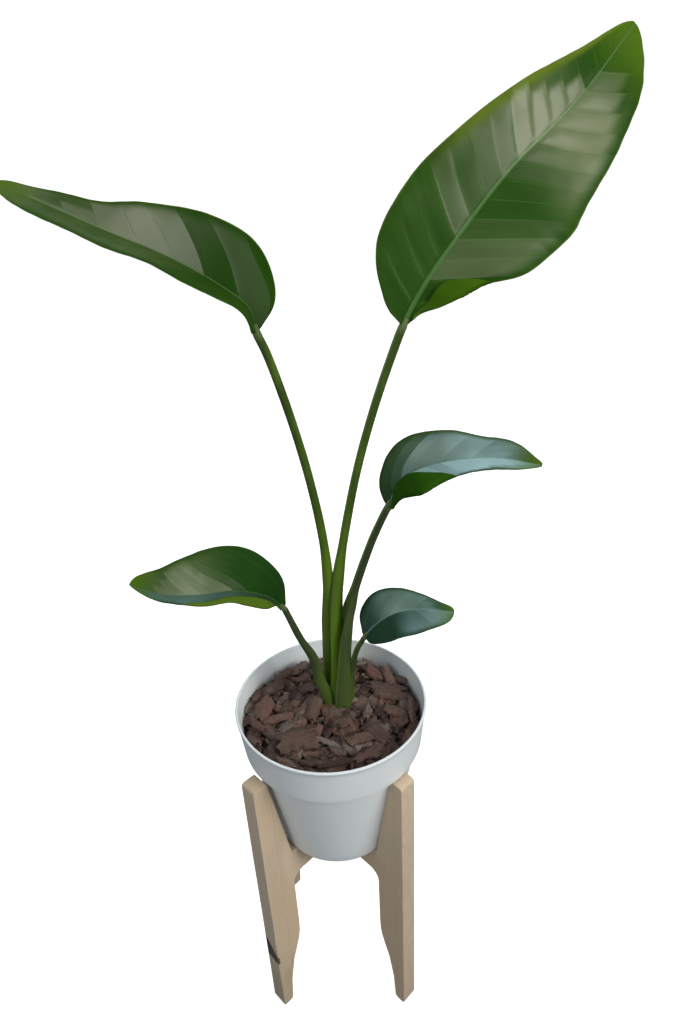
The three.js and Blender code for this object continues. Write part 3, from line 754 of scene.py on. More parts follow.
def leaf_material(name, look, shoot, under):
    s = Shader(name)
    spine = Spine(shoot)
    lay, share, point = s.uv("lay"), s.uv("share"), s.place()
    along, across = lay.part(0) / MM, abs(lay.part(1)) / MM
    upper = lay.part(1).math("GREATER_THAN", 0.0)
    u, v = share.part(0), abs(share.part(1) * 2 - 1)
    first, second, curve, spacing = shoot["vein"]
    slope = second + (first - second) * upper
    base_width, tip_width, clear, rib_colour = shoot["rib"]
    wobble = s.noise(point, 28, 2) - 0.5
    phase = (along - across * slope - across * across * curve + wobble * 1.5) / spacing
    from_vein = abs(phase.math("FRACT") - 0.93)
    fine = abs((phase * 10).math("FRACT") - 0.5) * 2
    vein = from_vein.smooth(0.05, 0.005) * v.smooth(0.9, 0.5) * across.smooth(2, 8)
    vein = vein * shoot["relief"]
    from_rib = across / (base_width + (tip_width - base_width) * u)
    blotch, mottled = s.noise(point, 9, 3, 0.6), s.noise(point, 60, 4, 0.6)
    if under:
        body = s.mix(blotch.smooth(0.3, 0.7), shoot["under"], scaled(shoot["under"], 0.75))
        colour = s.paint(body, (vein * 0.3, (0.09, 0.19, 0.03)),
                         (from_rib.smooth(1.8, 1.0), (0.13, 0.22, 0.05)))
        rough, shine = 0.52 + 0.15 * mottled, 0.0
    else:
        panel = phase.math("FLOOR")
        own = s.chance(panel + upper * 31.7)
        patchy = 0.35 + 0.65 * blotch.smooth(0.35, 0.65)
        # Where each panel leaves the midrib, as a share of its length.
        rooted = (panel + 0.5) * spacing / (spine.length - spine.stalk_length)
        # Each half's waxy bloom, laid on together with a painted sheen in the same colour: its mask,
        # its colour and its gloss along the blade.
        bloom_and_sheen_cover, bloom, glossy = [], [], []
        for side in ("low", "high"):
            tint, thick, start, end = shoot["bloom_" + side]
            there = u.smooth(start - 0.12, start + 0.12) * u.smooth(end + 0.1, end - 0.1)
            bloom_and_sheen_cover.append(there * v.smooth(1.0, 0.75) * thick * patchy)
            bloom.append(tint)
            stops = [(place, (value,) * 3) for place, value in shoot["shine_" + side]]
            glossy.append(s.ramp(rooted, *stops).part(0))
        bloom_and_sheen_cover, shine = (low + (high - low) * upper for low, high in (bloom_and_sheen_cover, glossy))
        reach = 0.97 - (rooted - 0.55).math("MAXIMUM", 0.0) * (1.4 + 1.3 * upper)
        shine = shine * (v - reach).smooth(0.02, -0.18) * (0.8 + 0.4 * own)
        shine = shine.math("MINIMUM", 1.0)
        # Where the blade is glossy the bloom colour is laid on more thickly: a painted sheen.
        bloom_and_sheen_cover = (bloom_and_sheen_cover * (0.7 + 0.3 * own) + shine * 0.5).math("MINIMUM", 1.0)
        stripe = s.noise(s.vector(phase * 2.5, across * 0.01), 1.0, 2)
        colour = s.paint(
            s.mix(blotch.smooth(0.32, 0.68), shoot["deep"], shoot["bright"]),
            (stripe.smooth(0.4, 0.75) * 0.4, scaled(shoot["deep"], 0.7)),
            # waxy bloom with its painted sheen
            (bloom_and_sheen_cover, s.mix(upper, *bloom)),
            (v.smooth(0.72, 0.95) * u.smooth(0.3, 0.55) * shoot["margin"] * upper,
             (0.11, 0.16, 0.015)),
            (fine.smooth(0.8, 1) * 0.06, (0.07, 0.17, 0.02)),
            (vein * 0.35, (0.08, 0.17, 0.04)),
            (u.smooth(0.80, 1) * 0.6, (0.085, 0.16, 0.008)),
            (v.smooth(0.972, 0.995) * 0.5, (0.13, 0.17, 0.04)),
            (from_rib.smooth(1.15, 0.7) * clear, rib_colour))
        rough = 0.55 + 0.1 * mottled
    step = from_vein.smooth(0.07, 0.0) * v.smooth(0.95, 0.5) * shoot["relief"]
    height = fine * 0.05 - step * 0.9 + s.noise(point, 900, 3, 0.6) * 0.05
    normal = s.bump(height * across.smooth(1, 6), 0.0009, 0.5)
    return s.finish(base_color=colour, roughness=rough, normal=normal, specular_ior_level=0.05,
                    coat_weight=shine, coat_roughness=look.leaf_roughness)


def stalk_material(name, look, dull):
    s = Shader(name)
    lay, point = s.uv("lay"), s.place()
    around, along = lay.part(0), lay.part(1)
    streak = s.noise(s.vector(around * 14, along * 5), 3.0, 3, 0.6)
    patch = s.noise(point.stretch((1, 1, 0.3)), 40, 3, 0.6)
    scars = s.noise(point.stretch((60, 60, 12)), 3.0, 3, 0.7)
    low, high = (tuple(a * (1 - dull) + b * dull for a, b in zip(fresh, drab))
                 for fresh, drab in ((look.stalk_low, (0.048, 0.080, 0.018)),
                                     (look.stalk_high, (0.033, 0.046, 0.017))))
    margin = abs(around - 0.5).smooth(0.45, 0.495) * around.smooth(1.2, 1.1)
    colour = s.paint(
        s.mix(along.smooth(0.25, 0.8), low, high),
        (streak.smooth(0.45, 0.75) * (0.2 + 0.4 * dull), (0.05, 0.055, 0.02)),
        (patch.smooth(0.45, 0.7) * 0.35, scaled(low, 1.5)),
        (margin * along.smooth(0.55, 0.35) * 0.5, (0.24, 0.34, 0.10)),
        # The inside of the groove and of the sheath is paler: partly its own colour, partly painted
        # light that lifts the shade in the opening.
        (around.smooth(1.1, 1.3), (0.11, 0.20, 0.03)),
        (along.smooth(0.98, 1.0) * 0.4, (0.16, 0.22, 0.09)),
        (scars.smooth(0.66, 0.74) * 0.4, (0.16, 0.12, 0.05)))
    ribs = (around * 150).math("SINE")
    height = ribs * 0.25 * around.smooth(1.2, 1.0) + streak * 0.5
    return s.finish(base_color=colour, roughness=0.36 + 0.2 * streak,
                    normal=s.bump(height, 0.0005, 0.5))


# ------------------------------------------------------------------ pot

def pot_profile():
    """The pot's wall as a closed outline of (radius, height), in millimetres."""
    floor = POT_FOOT + 5.0
    outline = [(radius, POT_FOOT + 2.5) for radius in (0.4, 30, 64.5)]
    outline += [(65.6, POT_FOOT + 1.4)]
    outline += arc((68.4, POT_FOOT + 0.8), 0.8, 180, 270, 4)
    outline += arc((72.2, POT_FOOT + 1.5), 1.5, 270, 350, 5)
    outline += slope(BODY_RADIUS, BODY_FLARE, POT_FOOT, BAND_FOOT, 0.06, 0.985, 22)
    outline += [(100.1, BAND_FOOT - 0.9), (100.8, BAND_FOOT - 0.25), (101.8, BAND_FOOT)]
    outline += arc((103.6, BAND_FOOT + 1.0), 1.0, 270, 355, 5)
    outline += slope(BAND_RADIUS, 4.9, BAND_FOOT, RIM, 0.12, 0.90, 9)
    outline += [(109.55, RIM - 3.6), (109.95, RIM - 3.0)]
    outline += arc((108.9, RIM - 1.25), 1.25, -20, 90, 7)
    outline += arc((108.0, RIM - 0.7), 0.7, 90, 180, 4)
    outline += [(107.25, RIM - 2.6)]
    outline += slope(BAND_RADIUS - WALL, BAND_FLARE, BAND_FOOT, RIM, 0.88, 0.02, 8)
    outline += [(101.0, BAND_FOOT - 1.6), (97.2, BAND_FOOT - 4.4)]
    outline += slope(BODY_RADIUS - WALL, BODY_FLARE, POT_FOOT, BAND_FOOT, 0.93, 0.07, 12)
    return [*outline, (71.2, floor + 1.0), (70.2, floor), (30, floor), (0.4, floor)]


def slope(radius, flare, low, high, start, end, steps):
    """Points on a wall that widens by flare between two heights, from one share to another."""
    return [(radius + flare * share, low + (high - low) * share)
            for share in np.linspace(start, end, steps)]


def turning_tree():
    """Turns an outline round +Z and bores a ring of holes through its floor."""
    tree = Tree("Turned Pot", {
        "Outline": ("Object", None), "Sides": ("Int", 160), "Holes": ("Int", 4),
        "Hole Radius": ("Float", 0.005), "Hole Circle": ("Float", 0.046),
        "Floor": ("Float", 0.274), "Turn": ("Float", 0.0), "Material": ("Material", None)})
    outline = tree.make("ObjectInfo", {"Object": "Outline"}, "Geometry")
    profile = tree.make("MeshToCurve", {"Mesh": outline})
    circle = tree.make("CurvePrimitiveCircle", {"Resolution": "Sides", "Radius": 1.0})
    wall = tree.make("CurveToMesh", {"Curve": circle, "Profile Curve": profile})
    # Every point of the circle stands for the axis, so that the outline's own X is the radius.
    wall = tree.set_radius(wall, lambda distance: (distance - 1.0) / distance)
    wall = tree.make("MergeByDistance", {"Geometry": wall, "Distance": 1e-6})
    hole = tree.make("MeshCylinder", {"Vertices": 32, "Radius": "Hole Radius", "Depth": 0.012})
    ring = tree.make("MeshCircle", {"Vertices": "Holes", "Radius": "Hole Circle"})
    ring = tree.make("Transform", {
        "Geometry": ring, "Translation": tree.vector(0, 0, tree.input("Floor")),
        "Rotation": tree.vector(0, 0, tree.input("Turn"))})
    holes = tree.make("InstanceOnPoints", {"Points": ring, "Instance": hole})
    holes = tree.make("RealizeInstances", {0: holes})
    return tree.end(tree.make("MeshBoolean", {"Mesh 1": wall, "Mesh 2": holes},
                              operation="DIFFERENCE"))


def pot_material(look):
    s = Shader("pot_plastic")
    point = s.place(POT_CENTRE)
    height, radius = point.part(2), point.stretch((1, 1, 0)).length()
    cloud, speck = s.noise(point, 12, 3, 0.5), s.noise(point, 420, 3, 0.6)
    scuff = s.noise(point.stretch((1, 1, 6)), 45, 4, 0.7)
    damp = s.noise(point, 30, 4, 0.65)
    # Halfway through the collar's wall, which leans outwards.
    halfway = 0.1033 + 0.103 * (height - BAND_FOOT * MM)
    stain = (radius - halfway).smooth(0.0006, -0.0006) * height.smooth(0.407, 0.412)
    stain = stain * height.smooth(RIM * MM - 0.010, RIM * MM - 0.032) * damp.smooth(0.3, 0.7)
    colour = s.paint(tuple(look.pot_colour),
                     (cloud.smooth(0.35, 0.7) * 0.35, scaled(look.pot_colour, 0.93)),
                     (scuff.smooth(0.66, 0.8) * 0.18, (0.45, 0.45, 0.43)),
                     (stain * 0.45, (0.20, 0.15, 0.11)))
    return s.finish(base_color=colour, roughness=look.pot_roughness + 0.15 * (cloud - 0.5),
                    normal=s.bump(speck * 0.5 + cloud * 2.0, 0.0004, 0.3))


# ------------------------------------------------------------------ bark

# The large chips that lie on top: across and back from the middle of the pot, length, width and
# thickness in millimetres; turn, lean to the right and lean to the front in degrees; tone.
LARGE_CHIPS = [
    (-79, 8, 34, 25, 4, 78, 4, 10, 0.62), (-42, 76, 27, 15, 4, 32, 10, 24, 0.90),
    (-21, 4, 32, 19, 5, 74, -6, 20, 0.50), (-38, -42, 45, 35, 5, 12, 3, 6, 0.45),
    (11, -20, 23, 17, 4, 4, 0, 8, 0.40), (67, 30, 42, 22, 4, -10, 4, 12, 0.36),
    (72, 20, 36, 17, 4, -16, 2, 6, 0.42), (74, -8, 30, 14, 4, -22, 8, 14, 0.48),
    (93, -6, 42, 15, 4, 84, 62, 0, 0.66), (-86, -18, 32, 10, 4, -52, -20, 6, 0.60),
    (23, 17, 17, 8, 2, -14, 4, 16, 0.99), (-6, -48, 29, 8, 3, -22, 4, 10, 0.97),
    (-52, -27, 22, 14, 3, 60, 6, 14, 0.93), (39, 79, 13, 6, 2, 10, 0, 20, 0.99),
    (-20, -77, 34, 9, 3, -6, 0, 6, 0.20), (6, -79, 40, 8, 3, 8, 0, 4, 0.10),
    (40, -68, 36, 12, 4, 32, 8, 10, 0.46), (56, 58, 32, 16, 4, -32, 6, 20, 0.72),
    (-70, 44, 29, 17, 4, 36, 8, 16, 0.34), (-60, 64, 25, 12, 4, 42, 0, 20, 0.40),
    (52, -40, 34, 20, 4, -48, -6, 8, 0.30), (30, -46, 30, 16, 4, 20, 4, 4, 0.52),
    (72, 50, 30, 14, 4, -64, 14, 16, 0.80), (-8, 76, 26, 13, 4, 8, 0, 22, 0.44)]


def chip_object(name, rng, length, width, thickness, columns=5, rows=4):
    """A flake of bark lying flat: ragged in outline, uneven on both faces."""
    narrowing = rng.uniform(0.45, 0.85)
    skew = rng.uniform(-0.25, 0.25)
    curve = rng.uniform(-0.12, 0.12)
    ends = rng.uniform(-0.16, 0.16, (2, rows))
    sides = rng.uniform(0.72, 1.08, (columns, 2))
    top, bottom = [], []
    for i, x in enumerate(np.linspace(-0.5, 0.5, columns)):
        taper = 1 - (1 - narrowing) * abs(x * 2) ** 1.6
        at_end = {0: ends[0], columns - 1: ends[1]}.get(i)
        for j in range(rows):
            y = j / (rows - 1) - 0.5
            ragged = 0 if at_end is None else at_end[j]
            px = (x + ragged * 0.6 + skew * y * 0.4) * length
            py = y * width * taper * sides[i, 1 if y > 0 else 0] + curve * width * (4 * x * x)
            edge = 0.55 if at_end is not None or j in (0, rows - 1) else 1.0
            bow = 0.10 * width * (1 - 4 * y * y)
            top.append((px, py, bow + thickness * 0.5 * edge * rng.uniform(0.7, 1.25)))
            bottom.append((px, py, bow - thickness * 0.5 * edge * rng.uniform(0.7, 1.15)))
    obj = new_object(name, top + bottom, slab_faces(columns, rows), smooth=False)
    set_chip(obj.data, place=np.array(top + bottom) + rng.uniform(-3, 3, 3))
    return obj


def scatter_tree():
    """Strews chips over a surface in a thick layer, turned and tipped at random."""
    tree = Tree("Strewn Chips", {
        "Chips": ("Collection", None), "Spacing": ("Float", 0.008), "Density": ("Float", 9000.0),
        "Seed": ("Int", 4), "Tilt": ("Float", 0.5), "Lift": ("Float", 0.004),
        "Smallest": ("Float", 0.7), "Largest": ("Float", 1.2), "Wall": ("Float", 0.1),
        "Material": ("Material", None)})
    points = tree.make("DistributePointsOnFaces", {
        "Mesh": tree.input("Geometry"), "Distance Min": "Spacing", "Density Max": "Density",
        "Seed": "Seed"}, distribute_method="POISSON")
    chips = tree.make("CollectionInfo", {
        "Collection": "Chips", "Separate Children": True, "Reset Children": True})
    back = tree.input("Tilt") * -1.0
    rotation = tree.add("FunctionNodeRandomValue", dict(data_type="FLOAT_VECTOR"), {
        0: tree.vector(back, back), 1: tree.vector("Tilt", "Tilt", 2 * math.pi), "Seed": "Seed"})
    laid = tree.make("InstanceOnPoints", {
        "Points": points, "Instance": chips, "Pick Instance": True, "Rotation": rotation,
        "Scale": tree.chance("Smallest", "Largest", "Seed")})
    laid = tree.make("TranslateInstances", {
        "Instances": laid, "Translation": tree.vector(0, 0, tree.chance(0.0, "Lift", 77)),
        "Local Space": False})
    laid = tree.make("StoreNamedAttribute", {
        "Geometry": laid, "Name": "chip_tone", "Value": tree.chance(0.0, 1.0, 5)},
        data_type="FLOAT", domain="INSTANCE")
    laid = tree.make("RealizeInstances", {0: laid})
    # Whatever would pass through the pot's wall is pressed back against it.
    wall = tree.input("Wall")
    return tree.end(tree.set_radius(laid, lambda distance: (wall / distance).math("MINIMUM", 1.0)))


def bark_material(look):
    s = Shader("pine_bark")
    local = s.attribute("chip_place", "Vector")
    grain = s.noise(local.stretch((60, 420, 420)), 1.0, 4, 0.6)
    layer = s.noise(local.stretch((90, 160, 1500)), 1.0, 3, 0.6)
    patch = s.noise(local.stretch((90, 90, 90)), 1.0, 3)
    flecks = s.noise(local.stretch((500, 900, 900)), 1.0, 2)
    body = s.ramp(s.attribute("chip_tone", "Fac"), (0.0, look.bark_dark),
                  (0.45, look.bark_colour), (0.75, (0.150, 0.082, 0.062)),
                  (0.93, (0.130, 0.098, 0.084)), (1.0, (0.22, 0.18, 0.145)))
    colour = s.paint(body,
                     (grain.smooth(0.35, 0.7) * 0.4, (0.036, 0.023, 0.019)),
                     (patch.smooth(0.5, 0.75) * 0.4, (0.16, 0.115, 0.095)),
                     (layer.smooth(0.62, 0.8) * 0.3, (0.20, 0.115, 0.08)),
                     (flecks.smooth(0.68, 0.78) * 0.45, (0.26, 0.20, 0.16)))
    return s.finish(base_color=colour, roughness=0.72 + 0.2 * grain,
                    normal=s.bump(grain * 1.2 + layer + patch * 1.5, 0.0012, 0.9))


def soil_material():
    s = Shader("potting_mix")
    point = s.place()
    crumb = s.noise(point, 220, 4, 0.7)
    grit = s.add("ShaderNodeTexVoronoi", {}, {"Vector": point, "Scale": 320}, "Distance")
    colour = s.paint((0.02, 0.013, 0.009),
                     (crumb.smooth(0.35, 0.7), (0.07, 0.045, 0.03)),
                     (grit.smooth(0.12, 0.05) * 0.5, (0.4, 0.38, 0.34)))
    return s.finish(base_color=colour, roughness=0.85 + 0.1 * crumb,
                    normal=s.bump(crumb + grit, 0.002, 0.9))


# ------------------------------------------------------------------ stand

def board_outline(slot_from_top):
    """Outline of one board, seen flat, as in the part: (distance from the middle, height), mm."""
    seat, arch, arch_round = 271.2, 232.0, 14.0
    top, edge, inner, slot = 408.5, 124.0, 84.0, 11.2
    slot_end = (seat + arch) / 2
    right = [(82, seat), (94.5, 345), (104.5, 404.5)]
    right += arc((107.4, 405.8), 2.5, 165, 95, 3)
    right += arc((edge - 4.5, top - 4.5), 4.5, 90, 0, 6)
    right += [(edge, 300), (edge, 150)]
    right += arc((edge - 4, 4), 4, 0, -90, 5)
    right += [(112, 0), (109.6, 1.4), (108.6, 4), (106, 40), (98.5, 78), (91.5, 97), (86.6, 112),
              (84.6, 124), (inner, 138), (inner, 180)]
    right += arc((inner - arch_round, arch - arch_round), arch_round, 0, 90, 7)
    left = [(-x, z) for x, z in reversed(right)]
    if slot_from_top:
        return [(-slot, seat), (-slot, slot_end), (slot, slot_end), (slot, seat), *right, *left]
    return [*right, (slot, arch), (slot, slot_end + 0.3), (-slot, slot_end + 0.3), (-slot, arch),
            *left]


def board_mesh(name, turn, slot_from_top, look):
    """A board stands upright through the middle of the stand, its edges eased."""
    half = look.board_thickness / 2
    outline = board_outline(slot_from_top)
    count = len(outline)
    vertices = [(x * MM, y, z * MM) for y in (-half, half) for x, z in outline]
    faces = [list(range(count)), list(range(2 * count - 1, count - 1, -1))]
    obj = new_object(name, vertices, faces + tube_faces(1, count))
    obj.data.transform(Matrix.Translation(STAND_CENTRE)
                       @ Matrix.Rotation(math.radians(turn), 4, "Z"))
    outwards(obj.data)
    ease = obj.modifiers.new("Eased edges", "BEVEL")
    ease.width = look.board_ease
    ease.segments = 3
    ease.limit_method = "ANGLE"
    ease.angle_limit = math.radians(38)
    ease.harden_normals = True
    return evaluated(obj)


def wood_material(name, turn, look, seed, knots):
    """Edge-glued pine: upright staves with their own rings, a knot here and there."""
    s = Shader(name)
    spot = s.place(STAND_CENTRE, turn)
    x, y, z = (spot.part(axis) for axis in range(3))
    stave_width, outer_edge = 0.034, 0.1215

    def away(middle, size):
        """Distance from a spot on the board, 1 at the spot's edge."""
        return s.vector((x - middle[0]) / size[0], y / size[1], (z - middle[1]) / size[2]).length()

    count = (x + 0.5 + seed * 0.011) / stave_width
    stave = count.math("FLOOR")
    seam = abs(count.math("FRACT") - 0.5).smooth(0.485, 0.5)
    own = s.chance(stave + seed)
    # Rings round a pith that runs upright, out of the board and different for each stave.
    sway = s.noise(s.vector(x * 2, y * 2 + stave * 3.1, z * 0.9), 4.0, 2) - 0.5
    pith = s.vector(x + own * 0.4 + sway * 0.05, y + own * 0.13 - 0.06 + sway * 0.03)
    ring = (pith.length() * 360 + sway * 6).math("FRACT")
    late = ring.smooth(0.45, 0.96) * ring.smooth(1.0, 0.97)
    fibre = s.noise(spot.stretch((900, 900, 14)), 1.0, 4, 0.65)
    pores = s.noise(spot.stretch((500, 500, 30)), 1.0, 2)
    cloud = s.noise(spot, 14, 3)
    edge_grain = s.noise(spot.stretch((30, 30, 3)), 4.0, 3, 0.6)
    # A dead knot in the outer edge of one leg, with the rings below it led round it.
    ragged = (s.noise(spot, 260, 3, 0.6) - 0.5) * 0.006
    knot = (z - y * 0.15 - 0.0955 + ragged).smooth(-0.001, 0.001)
    knot = knot * (z - y * 1.4 - 0.1225 + ragged).smooth(0.0015, -0.0015)
    knot = knot * (x + outer_edge).smooth(0.0010, -0.0010)
    swirl = away((-0.112, 0.055), (0.014, 0.03, 0.045))
    eddy = (swirl * 5 + sway * 3).math("SINE") * swirl.smooth(1.6, 0.5)
    light = (away((-0.081, 0.266), (0.020, 0.05, 0.062)) + sway * 2).smooth(1.25, 0.7)
    colour = s.paint(
        s.mix(late * 0.55, look.wood_pale, look.wood_ring),
        (own.smooth(0.2, 0.9) * 0.35, (0.58, 0.44, 0.30)),
        (fibre.smooth(0.5, 0.75) * 0.25, (0.38, 0.29, 0.21)),
        (cloud.smooth(0.45, 0.75) * 0.25, (0.42, 0.38, 0.33)),
        (seam * 0.45, (0.28, 0.21, 0.15)),
        ((abs(x) - outer_edge).smooth(0.0, 0.0012) * (0.15 + 0.4 * edge_grain),
         (0.52, 0.45, 0.39)),
        ((eddy * knots).smooth(0.2, 0.9) * 0.4, (0.46, 0.34, 0.17)),
        (z.smooth(0.11, 0.02) * 0.5 * knots, (0.34, 0.32, 0.21)),
        (light * 0.5 * knots, (0.66, 0.55, 0.43)),
        (knot * knots * (0.75 + 0.4 * edge_grain), (0.050, 0.040, 0.032)))
    height = late * 0.5 + fibre * 0.8 + pores * 0.3 - seam
    return s.finish(base_color=colour, roughness=0.62 + 0.15 * fibre,
                    normal=s.bump(height, 0.0003, 0.5))


# ------------------------------------------------------------------ settings

class LeafSettings(bpy.types.PropertyGroup):
    rows: IntProperty(name="Rows", description="Faces along each blade", default=170, min=20)
    columns: IntProperty(name="Columns", description="Faces across each half", default=34, min=6)
    pleat: FloatProperty(name="Relief", description="Strength of the steps at the side veins",
                         default=1.0, min=0)
    uneven: FloatProperty(name="Unevenness", description="Gentle waves over the blades",
                          default=0.0010, unit="LENGTH")
    sheath_turn: FloatProperty(name="Sheath Turn", description="Where the sheaths open, degrees",
                               default=26.0)
    leaf_roughness: FloatProperty(name="Leaf Roughness", description="Lower is glossier",
                                  default=0.24, min=0, max=1)
    stalk_low: FloatVectorProperty(name="Stalk Foot", description="Stalks near the soil",
                                   default=(0.088, 0.170, 0.006), subtype="COLOR")
    stalk_high: FloatVectorProperty(name="Stalk", description="Stalks near the blades",
                                    default=(0.033, 0.066, 0.004), subtype="COLOR")


class PotSettings(bpy.types.PropertyGroup):
    sides: IntProperty(name="Sides", description="Faces round the pot", default=160, min=24)
    hole_radius: FloatProperty(name="Hole Radius", description="Drainage holes",
                               default=0.005, unit="LENGTH")
    hole_circle: FloatProperty(name="Hole Circle", description="How far out the holes lie",
                               default=0.046, unit="LENGTH")
    pot_colour: FloatVectorProperty(name="Plastic", description="Colour of the pot",
                                    default=(0.74, 0.79, 0.82), subtype="COLOR")
    pot_roughness: FloatProperty(name="Pot Roughness", description="Satin plastic",
                                 default=0.38, min=0, max=1)


class BarkSettings(bpy.types.PropertyGroup):
    bed_top: FloatProperty(name="Bed Height", description="Height that the chips are strewn at",
                           default=0.428, unit="LENGTH")
    crown: FloatProperty(name="Crown", description="How much higher the middle is",
                         default=0.004, unit="LENGTH")
    seed: IntProperty(name="Seed", description="Another number lays the chips anew", default=4)
    bark_dark: FloatVectorProperty(name="Dark Bark", description="Damp chips",
                                   default=(0.040, 0.024, 0.020), subtype="COLOR")
    bark_colour: FloatVectorProperty(name="Bark", description="Most chips",
                                     default=(0.100, 0.060, 0.047), subtype="COLOR")


class StandSettings(bpy.types.PropertyGroup):
    board_thickness: FloatProperty(name="Board Thickness", description="Both boards",
                                   default=0.0218, unit="LENGTH")
    board_ease: FloatProperty(name="Eased Edge", description="Rounding along every edge",
                              default=0.0009, unit="LENGTH")
    wood_pale: FloatVectorProperty(name="Pale Wood", description="Between the rings",
                                   default=(0.60, 0.48, 0.34), subtype="COLOR")
    wood_ring: FloatVectorProperty(name="Ring Wood", description="The darker rings",
                                   default=(0.44, 0.31, 0.20), subtype="COLOR")


class StageSettings(bpy.types.PropertyGroup):
    floor_colour: FloatVectorProperty(name="Floor", description="Floor and backdrop",
                                      default=(0.86, 0.86, 0.86), subtype="COLOR")
    floor_glow: FloatProperty(name="Floor Glow", description="Keeps the backdrop evenly pale",
                              default=0.7)
    sky: FloatProperty(name="Ambient", description="Light from all round", default=0.15)
    window_right: FloatProperty(name="Right Window", description="Mirrored in the leaves",
                                default=14.0)
    window_left: FloatProperty(name="Left Window", description="Mirrored in the leaves",
                               default=13.0)
    sky_light: FloatProperty(name="Sky", description="Cool light from above and behind",
                             default=6.0)
    fill_right: FloatProperty(name="Right Fill", description="Main soft light", default=48.0)
    fill_left: FloatProperty(name="Left Fill", description="Second soft light", default=10.0)
    fill_back: FloatProperty(name="Back Fill", description="Soft light on the back", default=16.0)
    top_light: FloatProperty(name="Top Light", description="Soft light from above", default=9.0)


class PlantSettings(bpy.types.PropertyGroup):
    leaves: PointerProperty(type=LeafSettings)
    pot: PointerProperty(type=PotSettings)
    bark: PointerProperty(type=BarkSettings)
    stand: PointerProperty(type=StandSettings)
    stage: PointerProperty(type=StageSettings)


# ------------------------------------------------------------------ operators

class PLANT_OT_blades(bpy.types.Operator):
    """Make the five leaf blades"""
    bl_idname = "plant.blades"
    bl_label = "Leaf Blades"

    def execute(self, context):
        look = context.scene.plant.leaves
        for name, shoot in SHOOTS.items():
            obj = blade_mesh(name, shoot, look)
            for side, under in (("top", False), ("under", True)):
                obj.data.materials.append(leaf_material(f"leaf_{side}_{name}", look, shoot, under))
            settle(obj, "leaf_blade", f"blade_{name}")
        return {"FINISHED"}


class PLANT_OT_stalks(bpy.types.Operator):
    """Make the five leaf stalks with their sheaths"""
    bl_idname = "plant.stalks"
    bl_label = "Leaf Stalks"

    def execute(self, context):
        look = context.scene.plant.leaves
        for name, shoot in SHOOTS.items():
            obj = stalk_mesh(name, shoot, look)
            obj.data.materials.append(stalk_material(f"stalk_{name}", look, shoot["dull"]))
            settle(obj, "leaf_stalk", f"stalk_{name}")
        return {"FINISHED"}


class PLANT_OT_pot(bpy.types.Operator):
    """Turn the pot with its collar and drainage holes"""
    bl_idname = "plant.pot"
    bl_label = "Pot"

    def execute(self, context):
        look = context.scene.plant.pot
        # The circle that carries the outline turns it upside down, so it is given that way.
        points = [(radius * MM, -height * MM, 0) for radius, height in pot_profile()]
        edges = [(i, i + 1) for i in range(len(points) - 1)]
        guide = new_object("pot_outline", points, [], edges=edges)
        obj = turning_tree().apply(new_object("pot_shell", [], []), {
            "Outline": guide, "Sides": look.sides, "Holes": 4, "Hole Radius": look.hole_radius,
            "Hole Circle": look.hole_circle, "Floor": POT_FLOOR * MM,
            "Turn": math.radians(STAND_TURN), "Material": pot_material(look)})
        bpy.data.objects.remove(guide)
        obj.data.transform(Matrix.Translation(POT_CENTRE))
        outwards(obj.data)
        obj.data.shade_smooth()
        settle(obj, "white_plastic", "pot")
        return {"FINISHED"}


